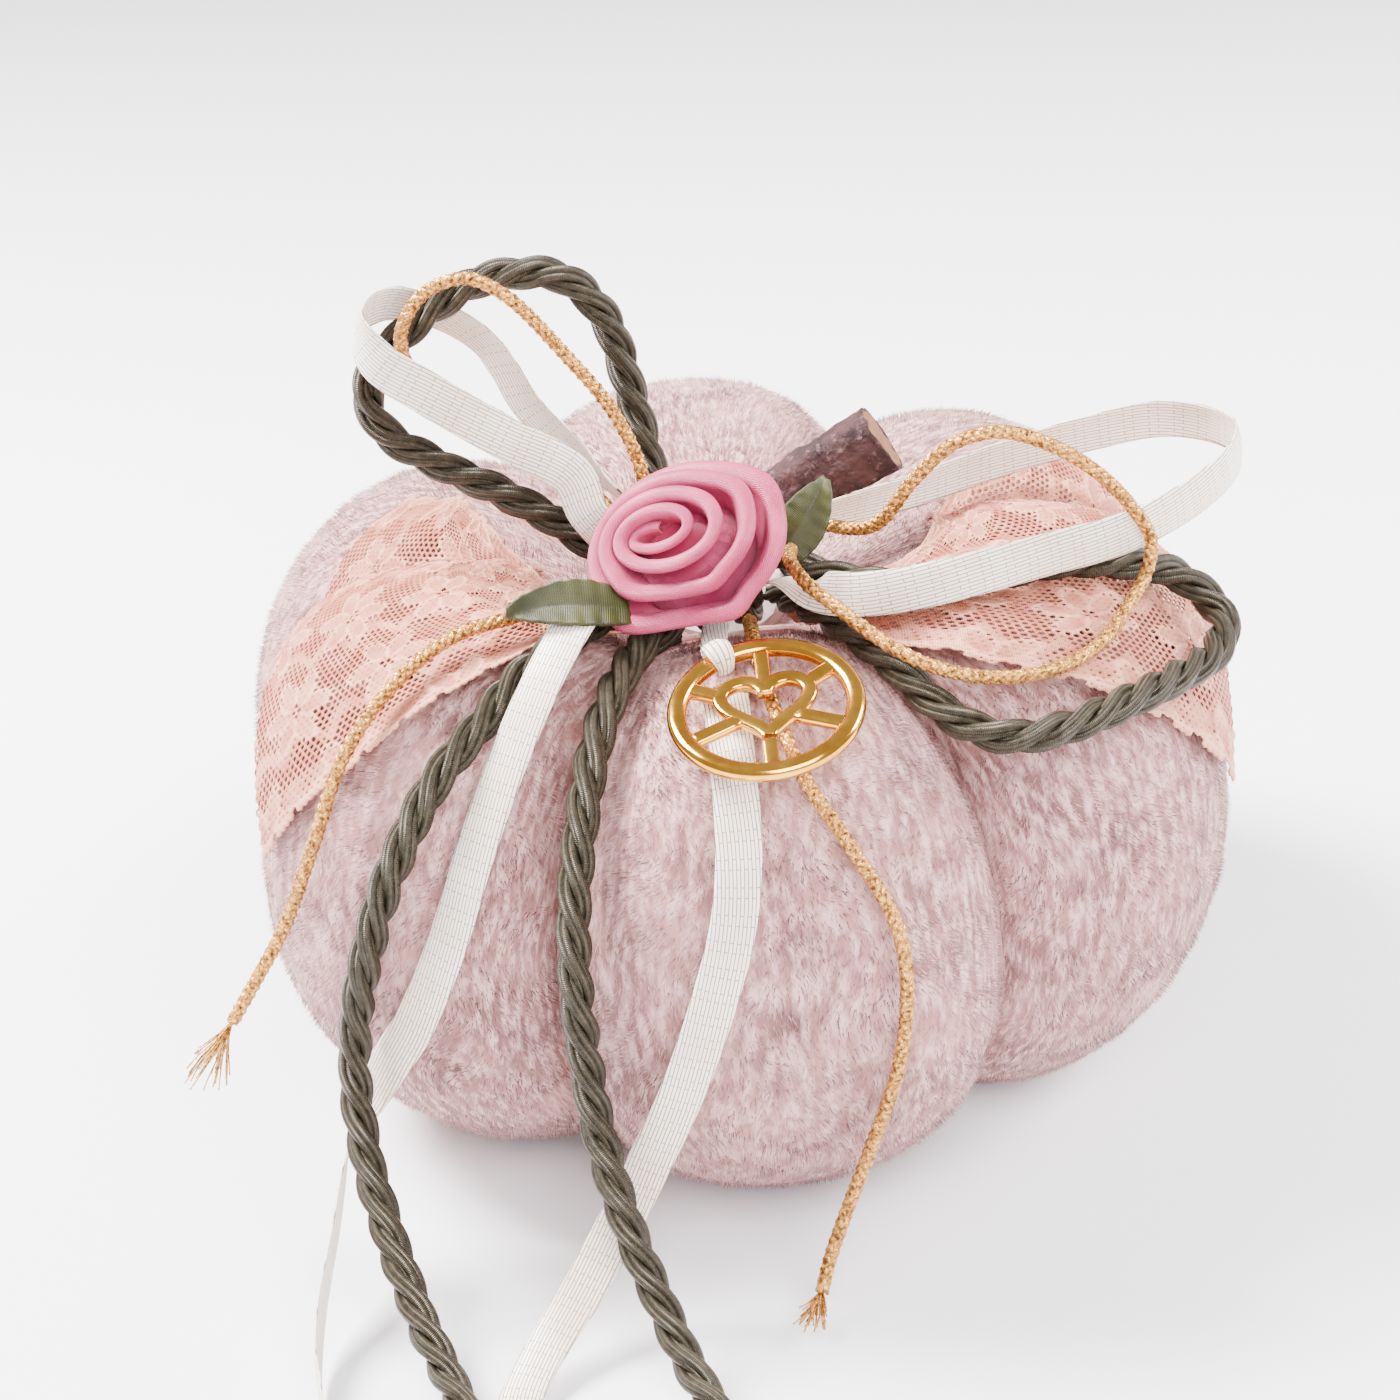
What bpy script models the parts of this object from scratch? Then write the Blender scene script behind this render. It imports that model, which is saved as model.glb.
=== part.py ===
"""A ring bearer pillow made as a stuffed velvet pumpkin, with a twig stem, a lace strip, a triple bow
of rope, satin ribbon and gold cord, a ribbon rose with two leaves, and a cast charm on the satin tail.

Units are metres, +Z is up and the front of the pillow looks along -Y. The origin is the middle of the
base, on the surface that the pillow stands on. Sizes are written in millimetres times MM.
"""
import math

import bmesh
import bpy
import numpy as np
from mathutils import Matrix, Vector

MM = 0.001
GAP = 0.3 * MM

# The stuffed body: six lobes round a dimple at the top and one at the bottom.
LOBES = 6
FRONT_LOBE_TURN = 5.0
BODY_RADIUS = 74.0 * MM
BODY_HEIGHT = 80.0 * MM
BODY_MIDDLE = 39.0 * MM
CROWN_RADIUS = 40.0 * MM
FOOT_RADIUS = 34.0 * MM
TOP_DIMPLE = 19.0 * MM
BOTTOM_DIMPLE = 24.0 * MM
BOTTOM_SAG = 2.0 * MM
NECK_RADIUS = 5.0 * MM
GROOVE_IN = 16.0 * MM
GROOVE_DROP = 11.0 * MM
GROOVE_RISE = 5.0 * MM
GROOVE_CROWN = 24.0 * MM
TOP_FULLNESS = 2.35
BOTTOM_FULLNESS = 2.1
COVER_WALL = 1.4 * MM

# Threads, the felt base and the glue that hold the body in shape.
THREAD_RADIUS = 0.5 * MM
THREAD_LIFT = 2.3 * MM
GATHER_RADIUS = 0.6 * MM
CENTRE_THREAD_RADIUS = 1.2 * MM
CENTRE_KNOT_RADIUS = 2.4 * MM
BASE_DISC_RADIUS = 17.0 * MM
BASE_DISC_THICKNESS = 1.0 * MM
GLUE_RADIUS = 8.0 * MM
GLUE_THICKNESS = 4.9 * MM

# The twig stem.
STEM_FOOT_RADIUS = 3.7 * MM
STEM_TIP_RADIUS = 5.4 * MM
STEM_LENGTH = 31.0 * MM
STEM_LEAN = 32.0

# The lace strip, as its two wings beside the bow.
LACE_THICKNESS = 0.7 * MM
LACE_HALF_WIDTH = 25.0 * MM

# The bow's three strands and the knot that they share.
ROPE_DIAMETER = 5.0 * MM
GOLD_DIAMETER = 2.0 * MM
RIBBON_WIDTH = 6.0 * MM
RIBBON_THICKNESS = 0.5 * MM
KNOT_HALF_SIZE = (8.0 * MM, 6.5 * MM, 6.0 * MM)

# The rose, its leaves and the charm.
ROSE_RADIUS = 11.6 * MM
ROSE_HEIGHT = 13.5 * MM
LEAF_WIDTH = 8.0 * MM
LEAF_THICKNESS = 1.2 * MM
CHARM_RADIUS = 13.0 * MM
CHARM_RIM = 2.2 * MM
CHARM_WEB = 1.3 * MM
CHARM_BAR = 2.1 * MM
CHARM_TILT = 13.0
CHARM_ROLL = 3.5
TIE_ANGLE = 118.0
TIE_WIDTH = 3.2 * MM
TIE_THICKNESS = 0.6 * MM

TOP = BODY_HEIGHT


# ---------------------------------------------------------------- materials and mesh helpers

def material(name, color, roughness, metallic=0.0):
    made = bpy.data.materials.get(name)
    if made is None:
        made = bpy.data.materials.new(name)
        made.use_nodes = True
        shader = made.node_tree.nodes["Principled BSDF"]
        shader.inputs["Base Color"].default_value = (*color, 1.0)
        shader.inputs["Roughness"].default_value = roughness
        shader.inputs["Metallic"].default_value = metallic
    return made


VELVET = ("blush_velvet", (0.80, 0.66, 0.64), 0.75, 0.0)
FIBRE = ("white_fibre", (0.90, 0.90, 0.88), 0.95, 0.0)
THREAD = ("blush_thread", (0.74, 0.58, 0.55), 0.80, 0.0)
FELT = ("ivory_felt", (0.86, 0.80, 0.74), 0.95, 0.0)
GLUE = ("clear_glue", (0.85, 0.82, 0.75), 0.35, 0.0)
BARK = ("twig_bark", (0.24, 0.13, 0.13), 0.80, 0.0)
LACE = ("dusty_pink_lace", (0.72, 0.42, 0.36), 0.80, 0.0)
ROPE = ("sage_rope", (0.22, 0.22, 0.16), 0.55, 0.0)
SATIN = ("ivory_satin", (0.88, 0.84, 0.78), 0.35, 0.0)
GOLD_CORD = ("gold_lurex", (0.72, 0.46, 0.16), 0.35, 0.7)
ROSE = ("rose_satin", (0.66, 0.16, 0.28), 0.40, 0.0)
LEAF = ("leaf_satin", (0.23, 0.27, 0.08), 0.50, 0.0)
GOLD = ("polished_gold", (0.90, 0.60, 0.18), 0.15, 1.0)


def add_object(name, data, finish):
    data.materials.clear()
    data.materials.append(material(*finish))
    made = bpy.data.objects.new(name, data)
    bpy.context.scene.collection.objects.link(made)
    return made


def add_mesh(name, points, faces, finish, smooth=True):
    mesh = bpy.data.meshes.new(name)
    mesh.from_pydata([tuple(point) for point in np.asarray(points, float)], [], faces)
    mesh.validate()
    work = bmesh.new()
    work.from_mesh(mesh)
    bmesh.ops.remove_doubles(work, verts=work.verts, dist=1e-6)
    bmesh.ops.recalc_face_normals(work, faces=work.faces)
    work.to_mesh(mesh)
    work.free()
    if smooth:
        mesh.shade_smooth()
    return add_object(name, mesh, finish)


def unit(vector):
    vector = np.asarray(vector, float)
    length = np.linalg.norm(vector, axis=-1, keepdims=True)
    return vector / np.maximum(length, 1e-12)


def smooth_path(points, spacing):
    """Points a spacing apart on the centripetal Catmull-Rom curve through the route's points."""
    route = np.asarray(points, float)
    route = np.vstack([2 * route[0] - route[1], route, 2 * route[-1] - route[-2]])
    fine = []
    for p0, p1, p2, p3 in zip(route[:-3], route[1:-2], route[2:-1], route[3:]):
        k1 = np.linalg.norm(p1 - p0) ** 0.5
        k2 = k1 + np.linalg.norm(p2 - p1) ** 0.5
        k3 = k2 + np.linalg.norm(p3 - p2) ** 0.5
        t = np.linspace(k1, k2, 24, endpoint=False)[:, None]
        a1 = (k1 - t) / k1 * p0 + t / k1 * p1
        a2 = (k2 - t) / (k2 - k1) * p1 + (t - k1) / (k2 - k1) * p2
        a3 = (k3 - t) / (k3 - k2) * p2 + (t - k2) / (k3 - k2) * p3
        b1 = (k2 - t) / k2 * a1 + t / k2 * a2
        b2 = (k3 - t) / (k3 - k1) * a2 + (t - k1) / (k3 - k1) * a3
        fine.append((k2 - t) / (k2 - k1) * b1 + (t - k1) / (k2 - k1) * b2)
    fine = np.vstack(fine + [route[-2:-1]])
    along = np.concatenate([[0.0], np.cumsum(np.linalg.norm(np.diff(fine, axis=0), axis=1))])
    count = max(3, int(round(along[-1] / spacing)) + 1)
    places = np.linspace(0.0, along[-1], count)
    return np.stack([np.interp(places, along, fine[:, axis]) for axis in range(3)], 1)


def grid_faces(rows, columns, closed_columns=False):
    """Quads of a grid of points stored row by row."""
    faces = []
    last = columns if closed_columns else columns - 1
    for row in range(rows - 1):
        for column in range(last):
            right = (column + 1) % columns
            faces.append((row * columns + column, row * columns + right,
                          (row + 1) * columns + right, (row + 1) * columns + column))
    return faces


def slab_faces(rows, columns):
    """Faces of a thin slab: its under grid, its upper grid stored after it, and the edge between."""
    faces = grid_faces(rows, columns)
    offset = rows * columns
    faces += [tuple(offset + corner for corner in reversed(face)) for face in faces]
    edge = [row * columns for row in range(rows)]
    edge += [(rows - 1) * columns + column for column in range(1, columns)]
    edge += [row * columns + columns - 1 for row in range(rows - 2, -1, -1)]
    edge += list(range(columns - 2, 0, -1))
    faces += [(a, b, offset + b, offset + a) for a, b in zip(edge, edge[1:] + edge[:1])]
    return faces


def add_tube(name, route, diameter, finish, spacing=None):
    """A round cord: a curve with a bevel, filled caps and a point every two or three diameters."""
    path = smooth_path(np.asarray(route, float) * MM, spacing or 2.0 * diameter)
    curve = bpy.data.curves.new(name, "CURVE")
    curve.dimensions = "3D"
    curve.bevel_depth = diameter / 2
    curve.bevel_resolution = 2
    curve.use_fill_caps = True
    spline = curve.splines.new("POLY")
    spline.points.add(len(path) - 1)
    spline.points.foreach_set("co", np.hstack([path, np.ones((len(path), 1))]).ravel())
    return add_object(name, curve, finish)


def add_band(name, route, facings, width, thickness, finish, spacing):
    """A flat ribbon: a thin rectangle carried along the route, its face turned to each facing."""
    route = np.asarray(route, float) * MM
    path = smooth_path(route, spacing)
    place = np.linspace(0.0, 1.0, len(path))
    marks = np.concatenate([[0.0], np.cumsum(np.linalg.norm(np.diff(route, axis=0), axis=1))])
    facings = unit(facings)
    facing = np.stack([np.interp(place, marks / marks[-1], facings[:, axis]) for axis in range(3)], 1)
    tangent = unit(np.gradient(path, axis=0))
    across = unit(np.cross(tangent, facing))
    normal = np.cross(across, tangent)
    corners = [(-1, -1), (1, -1), (1, 1), (-1, 1)]
    rings = np.stack([path + across * side * width / 2 + normal * lift * thickness / 2
                      for side, lift in corners], 1)
    faces = grid_faces(len(path), 4, closed_columns=True)
    last = 4 * (len(path) - 1)
    faces += [(0, 1, 2, 3), (last, last + 1, last + 2, last + 3)]
    return add_mesh(name, rings.reshape(-1, 3), faces, finish, smooth=False)


def add_lathe(name, profile, centre, axis, sides, finish):
    """A turned solid: a profile of (radius, height) pairs about an axis, its two ends on the axis."""
    spin = Vector((0, 0, 1)).rotation_difference(Vector(axis))
    angles = np.linspace(0, 2 * math.pi, sides, endpoint=False)
    inner = np.asarray(profile[1:-1], float)
    rings = np.stack([inner[:, :1] * np.cos(angles), inner[:, :1] * np.sin(angles),
                      np.repeat(inner[:, 1:], sides, 1)], -1).reshape(-1, 3)
    points = np.vstack([rings, [(0, 0, profile[0][1])], [(0, 0, profile[-1][1])]])
    faces = grid_faces(len(inner), sides, closed_columns=True)
    first, last = len(rings), len(rings) + 1
    top = (len(inner) - 1) * sides
    for side in range(sides):
        following = (side + 1) % sides
        faces.append((first, following, side))
        faces.append((last, top + side, top + following))
    turn = np.array(spin.to_matrix())
    return add_mesh(name, points @ turn.T + np.asarray(centre, float), faces, finish)


def add_ring(name, radius, thickness, height, finish, sides=16):
    """A closed ring of thread lying level round the Z axis."""
    angles = np.linspace(0, 2 * math.pi, sides, endpoint=False)
    turns = np.linspace(0, 2 * math.pi, 6, endpoint=False)
    rows = radius + thickness * np.cos(turns)
    points = np.stack([np.outer(np.cos(angles), rows), np.outer(np.sin(angles), rows),
                       np.tile(height + thickness * np.sin(turns), (sides, 1))], -1).reshape(-1, 3)
    faces = []
    for row in range(sides):
        for column in range(6):
            following = (column + 1) % 6
            below = (row + 1) % sides
            faces.append((row * 6 + column, row * 6 + following, below * 6 + following, below * 6 + column))
    return add_mesh(name, points, faces, finish)


# ---------------------------------------------------------------- the body's shape

def half_section(place, equator, ends, top, middle, bottom, dimples, fullness):
    """Radius and height of one half of the body's upright section. Place runs from -2 at the bottom
    neck, past -1 where it is lowest, 0 at the widest and 1 where it is highest, to 2 at the top neck.
    Ends, dimples and fullness each hold the value for the top and the one for the bottom. The outer
    part is a superellipse and each dimple is a funnel that falls with a power of its depth."""
    angle = np.clip(np.abs(place), 0, 1) * math.pi / 2
    power = np.where(place >= 0, fullness[0], fullness[1])
    outward = np.cos(angle) ** (2 / power)
    upward = np.sin(angle) ** (2 / power)
    crown = np.where(place >= 0, ends[0], ends[1])
    radius = crown + (equator - crown) * outward
    height = np.where(place >= 0, middle + (top - middle) * upward, middle - (middle - bottom) * upward)
    inward = np.clip(np.abs(place), 1, 2) - 1
    radius = np.where(np.abs(place) > 1, crown - (crown - NECK_RADIUS) * inward, radius)
    height = np.where(place > 1, top - dimples[0] * inward ** 1.6, height)
    height = np.where(place < -1, bottom + dimples[1] * inward ** 1.6, height)
    return radius, height


def body_points(azimuth, place, bridge=None):
    """Points of the body's skin. Azimuth is in degrees from the front, positive to the right.
    Where bridge is given, the skin spans the grooves as a cloth over the lobes would: the less
    the bridge, the deeper it sags, and it never sinks into the skin itself."""
    azimuth, place = np.broadcast_arrays(np.asarray(azimuth, float), np.asarray(place, float))
    step = 360 / LOBES
    across = ((azimuth - FRONT_LOBE_TURN + step / 2) % step - step / 2) / (step / 2)
    if bridge is None:
        swell = np.maximum(1 - np.abs(across) ** 2.3, 0) ** 0.55
    else:
        swell = 1 - (1 - bridge) * np.abs(across) ** 4
    lobe = half_section(place, BODY_RADIUS, (CROWN_RADIUS, FOOT_RADIUS), TOP, BODY_MIDDLE, -BOTTOM_SAG,
                        (TOP_DIMPLE, BOTTOM_DIMPLE), (TOP_FULLNESS, BOTTOM_FULLNESS))
    rise = BOTTOM_DIMPLE - BOTTOM_SAG - GROOVE_RISE
    groove = half_section(place, BODY_RADIUS - GROOVE_IN, (GROOVE_CROWN, GROOVE_CROWN), TOP - GROOVE_DROP,
                          BODY_MIDDLE - 2 * MM, GROOVE_RISE, (TOP_DIMPLE - GROOVE_DROP, rise), (2.0, 2.0))
    radius = groove[0] + (lobe[0] - groove[0]) * swell
    height = np.maximum(groove[1] + (lobe[1] - groove[1]) * swell, 0.0)
    turn = np.radians(azimuth)
    return np.stack([radius * np.sin(turn), -radius * np.cos(turn), height], -1)


def body_normals(azimuth, place, bridge=None):
    """Outward directions of the same skin, from small steps both ways."""
    step = 0.5
    round_it = body_points(azimuth + step, place, bridge) - body_points(azimuth - step, place, bridge)
    up_it = (body_points(azimuth, np.minimum(place + 0.01, 2), bridge)
             - body_points(azimuth, np.maximum(place - 0.01, -2), bridge))
    return unit(np.cross(round_it, up_it))


def body_grid(inset):
    """The skin moved in by an inset, as rows of points from the bottom neck to the top neck."""
    shares = np.array([-1.0, -0.88, -0.65, -0.35, 0.0, 0.35, 0.65, 0.88])
    half = 180 / LOBES
    azimuth = np.concatenate([FRONT_LOBE_TURN + 2 * half * lobe + half * shares for lobe in range(LOBES)])
    place = np.array([-2.0, -1.75, -1.5, -1.25, -1.08, -0.95, -0.8, -0.62, -0.42, -0.2, 0.0, 0.2, 0.4,
                      0.58, 0.74, 0.88, 1.0, 1.14, 1.32, 1.55, 1.78, 2.0])
    turn, climb = np.meshgrid(azimuth, place)
    points = body_points(turn, climb)
    normals = body_normals(turn, climb)
    normals[0] = normals[-1] = unit(points[0] * (-1, -1, 0))
    moved = points - normals * inset
    moved[..., 2] = np.maximum(moved[..., 2], inset)
    return moved


def add_cover():
    """The velvet cover: one shell, gathered to a neck at the top and another at the bottom."""
    outer = body_grid(0.0)
    inner = body_grid(COVER_WALL)
    rows, columns = outer.shape[:2]
    points = np.vstack([outer.reshape(-1, 3), inner.reshape(-1, 3)])
    faces = grid_faces(rows, columns, closed_columns=True)
    offset = rows * columns
    faces += [tuple(offset + corner for corner in reversed(face)) for face in faces]
    for row in (0, rows - 1):
        for column in range(columns):
            right = (column + 1) % columns
            a, b = row * columns + column, row * columns + right
            faces.append((a, b, offset + b, offset + a))
    return add_mesh("velvet_cover", points, faces, VELVET)


def add_filling():
    """The fibre filling: it fills the cover and leaves a round channel for the centre thread."""
    skin = body_grid(COVER_WALL + 3 * GAP)
    rows, columns = skin.shape[:2]
    channel = CENTRE_KNOT_RADIUS + GAP
    ends = []
    for row, away in ((skin[-1], -1), (skin[0], 1)):
        row[:, 2] += away * 2 * GAP
        ring = unit(row * (1, 1, 0)) * channel
        ring[:, 2] = row[:, 2] + away * COVER_WALL
        ends.append(ring)
    points = np.vstack([skin.reshape(-1, 3), ends[0], ends[1]])
    faces = grid_faces(rows + 2, columns, closed_columns=True)
    top = (rows + 1) * columns
    for column in range(columns):
        right = (column + 1) % columns
        faces.append((top + column, top + right, right, column))
    return add_mesh("fibre_filling", points, faces, FIBRE)


def add_threads():
    """Six threads pull the grooves in, one gathers each neck, and one ties top to bottom."""
    half = 180 / LOBES
    for lobe in range(LOBES):
        azimuth = FRONT_LOBE_TURN + half * (2 * lobe + 1)
        places = np.linspace(1.72, -1.72, 27)
        points = body_points(azimuth, places)
        up_it = body_points(azimuth, places + 0.01) - body_points(azimuth, places - 0.01)
        side = np.array([math.cos(math.radians(azimuth)), math.sin(math.radians(azimuth)), 0.0])
        lifted = points + unit(np.cross(side, up_it)) * THREAD_LIFT
        add_tube(f"groove_thread_{lobe + 1}", lifted / MM, 2 * THREAD_RADIUS, THREAD, spacing=9 * MM)
    gather = NECK_RADIUS - GAP - GATHER_RADIUS
    necks = (TOP - TOP_DIMPLE, BOTTOM_DIMPLE - BOTTOM_SAG)
    add_ring("gather_thread_top", gather, GATHER_RADIUS, necks[0], THREAD)
    add_ring("gather_thread_bottom", gather, GATHER_RADIUS, necks[1], THREAD)
    knot, shaft = CENTRE_KNOT_RADIUS, CENTRE_THREAD_RADIUS
    turns = np.radians([30, 60, 90, 120, 150])
    low = [(knot * math.sin(a), necks[1] - knot * math.cos(a)) for a in turns]
    high = [(knot * math.sin(a), necks[0] - knot * math.cos(a)) for a in turns]
    low[-1] = (shaft, low[-1][1])
    high[0] = (shaft, high[0][1])
    profile = [(0, necks[1] - knot)] + low + high + [(0, necks[0] + knot)]
    add_lathe("centre_thread", profile, (0, 0, 0), (0, 0, 1), 12, THREAD)


def add_base_disc():
    """The felt disc that closes the gathered bottom and lies flat on the table."""
    edge = 0.2 * MM
    profile = [(0, 0), (BASE_DISC_RADIUS - edge, 0), (BASE_DISC_RADIUS, edge),
               (BASE_DISC_RADIUS, BASE_DISC_THICKNESS - edge),
               (BASE_DISC_RADIUS - edge, BASE_DISC_THICKNESS), (0, BASE_DISC_THICKNESS)]
    add_lathe("base_disc", profile, (0, 0, 0), (0, 0, 1), 40, FELT)


# ---------------------------------------------------------------- stem and glue

STEM_FOOT = np.array([-2.0, 3.0, -6.8]) * MM + (0, 0, TOP)


def stem_direction():
    lean = math.radians(STEM_LEAN)
    return np.array([math.cos(lean), 0.04, math.sin(lean)])


def add_stem():
    """A stub of twig: round rings along a slightly bent line, wider at the sawn tip."""
    rings, sides = 9, 12
    axis = unit(stem_direction())
    side = unit(np.cross(axis, (0, 1, 0)))
    lift = np.cross(side, axis)
    points = []
    for ring in range(rings):
        share = ring / (rings - 1)
        swell = STEM_FOOT_RADIUS + (STEM_TIP_RADIUS - STEM_FOOT_RADIUS) * share ** 1.3
        swell *= 1 + 0.04 * math.sin(9 * share)
        centre = STEM_FOOT + axis * STEM_LENGTH * share + side * 0.8 * MM * math.sin(math.pi * share)
        for step in range(sides):
            angle = 2 * math.pi * step / sides
            bump = 1 + 0.05 * math.sin(3 * angle + 4 * share)
            points.append(centre + swell * bump * (side * math.cos(angle) + lift * math.sin(angle)))
    faces = grid_faces(rings, sides, closed_columns=True)
    faces.append(tuple(range(sides)))
    faces.append(tuple(range((rings - 1) * sides, rings * sides)))
    add_mesh("stem", points, faces, BARK)


def add_glue():
    """The pad of hot glue in the dimple, under the foot of the stem."""
    height = GLUE_THICKNESS
    profile = [(0, 0), (GLUE_RADIUS * 0.85, 0), (GLUE_RADIUS, height * 0.35),
               (GLUE_RADIUS * 0.8, height * 0.8), (GLUE_RADIUS * 0.4, height), (0, height)]
    foot = TOP - TOP_DIMPLE + CENTRE_KNOT_RADIUS + 4 * GAP
    add_lathe("stem_glue", profile, (0, 0, foot), (0, 0, 1), 16, GLUE)


# ---------------------------------------------------------------- lace

def add_lace_wing(name, azimuths, widths, reach, slant):
    """One wing of the lace strip, laid over the lobes from beside the bow to its cut end.
    Azimuths and widths are read along the wing, and the slant cuts its end at an angle."""
    rows, columns = 15, 11
    along = np.linspace(0, 1, rows)[:, None]
    across = np.linspace(-1, 1, columns)[None, :]
    marks = np.linspace(0, 1, len(azimuths))
    place = 1.38 - along * (reach - slant * across)
    middle = np.interp(along, marks, azimuths)
    half_width = np.interp(along, marks, widths) * LACE_HALF_WIDTH
    radius = np.linalg.norm(body_points(middle, place)[..., :2], axis=-1)
    azimuth = middle + np.degrees(half_width / radius) * across
    bridge = np.interp(along, [0, 0.3, 0.7, 1], [0.4, 0.6, 0.8, 0.85]) + 0 * across
    azimuth, place = np.broadcast_arrays(azimuth, place)
    points = body_points(azimuth, place, bridge)
    normals = body_normals(azimuth, place, bridge)
    under = points + normals * (GAP + 0.2 * MM)
    over = under + normals * LACE_THICKNESS
    both = np.vstack([under.reshape(-1, 3), over.reshape(-1, 3)])
    add_mesh(name, both, slab_faces(rows, columns), LACE)


def add_lace():
    add_lace_wing("lace_wing_left", (-42, -58, -65, -71, -78), (0.24, 0.62, 0.9, 0.95, 0.77), 0.845, -0.405)
    add_lace_wing("lace_wing_right", (36, 55, 67, 78, 89), (0.24, 0.68, 1.0, 1.06, 0.96), 0.962, 0.328)


# ---------------------------------------------------------------- the bow

KNOT_CENTRE = np.array([-2.0, -18.0, -1.2]) * MM + (0, 0, TOP)

# Routes run through these points, in millimetres. Loops leave the knot and come back to it.
ROPE_LOOP_LEFT = [
    (-11.5, -15, 78.5), (-18.5, -9.5, 83.5), (-29.3, -5.5, 89.6), (-38.6, -3.5, 94.4),
    (-45.2, -2.5, 99), (-47, -2, 105.5), (-42.3, -1.2, 112), (-33.4, -0.6, 118.6), (-27, 0, 120.3),
    (-18.6, 0, 119.2), (-13.3, 0, 112.7), (-10.6, -2, 102.3), (-8.6, -6, 92), (-7.6, -9.5, 86)]
ROPE_LOOP_RIGHT = [
    (7.8, -21.8, 79.7), (11.8, -29.4, 81.5), (16.6, -36.4, 81.2), (21.2, -41.6, 79.2), (25.3, -46.2, 76.6),
    (29.8, -50.2, 74.2), (35.8, -52.6, 72.6), (43.4, -51, 72.2), (52.3, -45.3, 72.2),
    (60.8, -37.3, 71), (67, -29, 69.8), (69, -21.3, 71.2), (63.4, -18, 76), (54.6, -20.8, 80.2),
    (45.2, -24.4, 82.9), (34.5, -28.9, 83.8), (23.5, -29, 83.5), (14, -23.5, 83), (8.6, -17, 82.6)]
ROPE_TAIL_LEFT = [
    (-12, -21.5, 79.4), (-16.8, -28.9, 81.6), (-22, -35.9, 81.8), (-28.2, -41.3, 79.7),
    (-33.9, -47.2, 76), (-39.6, -51.4, 71), (-44, -54.5, 64.6), (-47.6, -56.4, 57.7),
    (-51, -57.8, 47.6), (-53.4, -57.6, 37.5), (-54.2, -60, 28.5), (-53.2, -65.5, 21),
    (-50.7, -73.5, 14), (-47, -83.5, 8.2), (-42.6, -94, 4.3), (-39.5, -104, 3), (-37, -113, 2.8)]
ROPE_TAIL_RIGHT = [
    (-6.8, -28, 78.9), (-10.8, -33.9, 80.1), (-13.8, -40.5, 79.6), (-16.3, -46.8, 77.8),
    (-18.9, -53.4, 73), (-21, -60.2, 66.3), (-22.3, -65.2, 58), (-22.8, -68.9, 48.6),
    (-22.4, -70.5, 38.5), (-21.3, -73.5, 29), (-18.6, -81.5, 19.8), (-14.8, -88, 11.3),
    (-11, -95.5, 5.2), (-7.5, -104, 3.1), (-5, -113, 2.8)]
GOLD_LOOP_LEFT = [
    (-9.6, -14, 86), (-9.8, -12.5, 95), (-13, -10, 103), (-19, -8, 111.3), (-26.7, -6, 120),
    (-31.8, -5.5, 122.6), (-37.5, -5.8, 121), (-41.2, -6, 115.5), (-40.6, -4.9, 109.5),
    (-36.5, -1.2, 104), (-28.5, -0.5, 98.5), (-20, -5, 92), (-14.5, -9.5, 87.8), (-12.2, -12, 85)]
GOLD_LOOP_RIGHT = [
    (9.8, -24, 87.5), (9.4, -30.5, 89), (11.5, -36.8, 88.6), (15, -40.8, 87.2), (20, -43.8, 83.8),
    (25.5, -46.4, 81.2), (31.5, -47.2, 79.2), (38, -45.9, 77.7), (45, -42.5, 77), (50.8, -37, 77.4),
    (54.8, -30.8, 78.9), (57.8, -26.5, 81.2), (58.8, -24.8, 85.3), (56, -25, 91), (51.5, -26.5, 97),
    (45, -28, 102.5), (38, -29, 105.5), (32, -29.5, 104.5), (26.5, -28.5, 99), (21.5, -26, 91.5),
    (16.5, -21, 88.8), (12.5, -15.5, 88.2)]
GOLD_TAIL_LEFT = [
    (-12.6, -19.5, 82.8), (-18.8, -25, 84.2), (-27.9, -31, 83.9), (-35.8, -33.6, 83.2),
    (-44.3, -38.9, 79.6), (-51.8, -44.2, 72), (-57.2, -48.4, 60.3), (-62.4, -48.3, 48),
    (-67.5, -49, 39.5), (-71, -49.5, 34)]
GOLD_TAIL_RIGHT = [
    (3.5, -26, 78), (3.6, -33, 80.3), (3.9, -41, 81.4), (4.8, -49, 80.9), (6.4, -56.8, 78.5),
    (9, -63.2, 74.2), (14.2, -68, 66.6), (19.2, -71, 57), (20.3, -73.2, 48.5), (18.7, -74.4, 36.5),
    (14.5, -74.5, 23.5), (10.8, -75.5, 14), (8.2, -77.2, 7.6), (6.8, -79.5, 4)]

# Each satin route has the direction that the ribbon's face looks along at the same points.
SATIN_LOOP_LEFT = [
    (-13, -16, 84.5), (-17.5, -14.5, 90), (-19.5, -12, 95), (-28.4, -9.5, 100.2), (-38.3, -8.5, 107.2),
    (-44.8, -7.5, 112.3), (-47, -4, 116.2), (-43.3, 0.5, 117), (-35.3, 5.5, 111.8), (-30.4, 6.5, 107),
    (-28.2, 6.5, 103), (-25.3, 6, 97), (-18.5, 2.5, 90.5), (-13, -3.5, 86.8)]
SATIN_LOOP_LEFT_FACES = [
    (-0.6, -0.8, 0.3), (-0.4, -0.9, 0.3), (0.1, -0.9, 0.4), (0.3, -0.85, 0.35), (0.25, -0.9, 0.3),
    (-0.3, -0.9, 0.3), (-1, -0.1, 0.2), (-0.4, 0.9, 0.3), (0.3, 0.9, 0.3), (0.6, 0.8, 0.1),
    (0.6, 0.8, 0), (0.5, 0.8, 0.1), (0.4, 0.8, 0.3), (0.3, 0.6, 0.6)]
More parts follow.
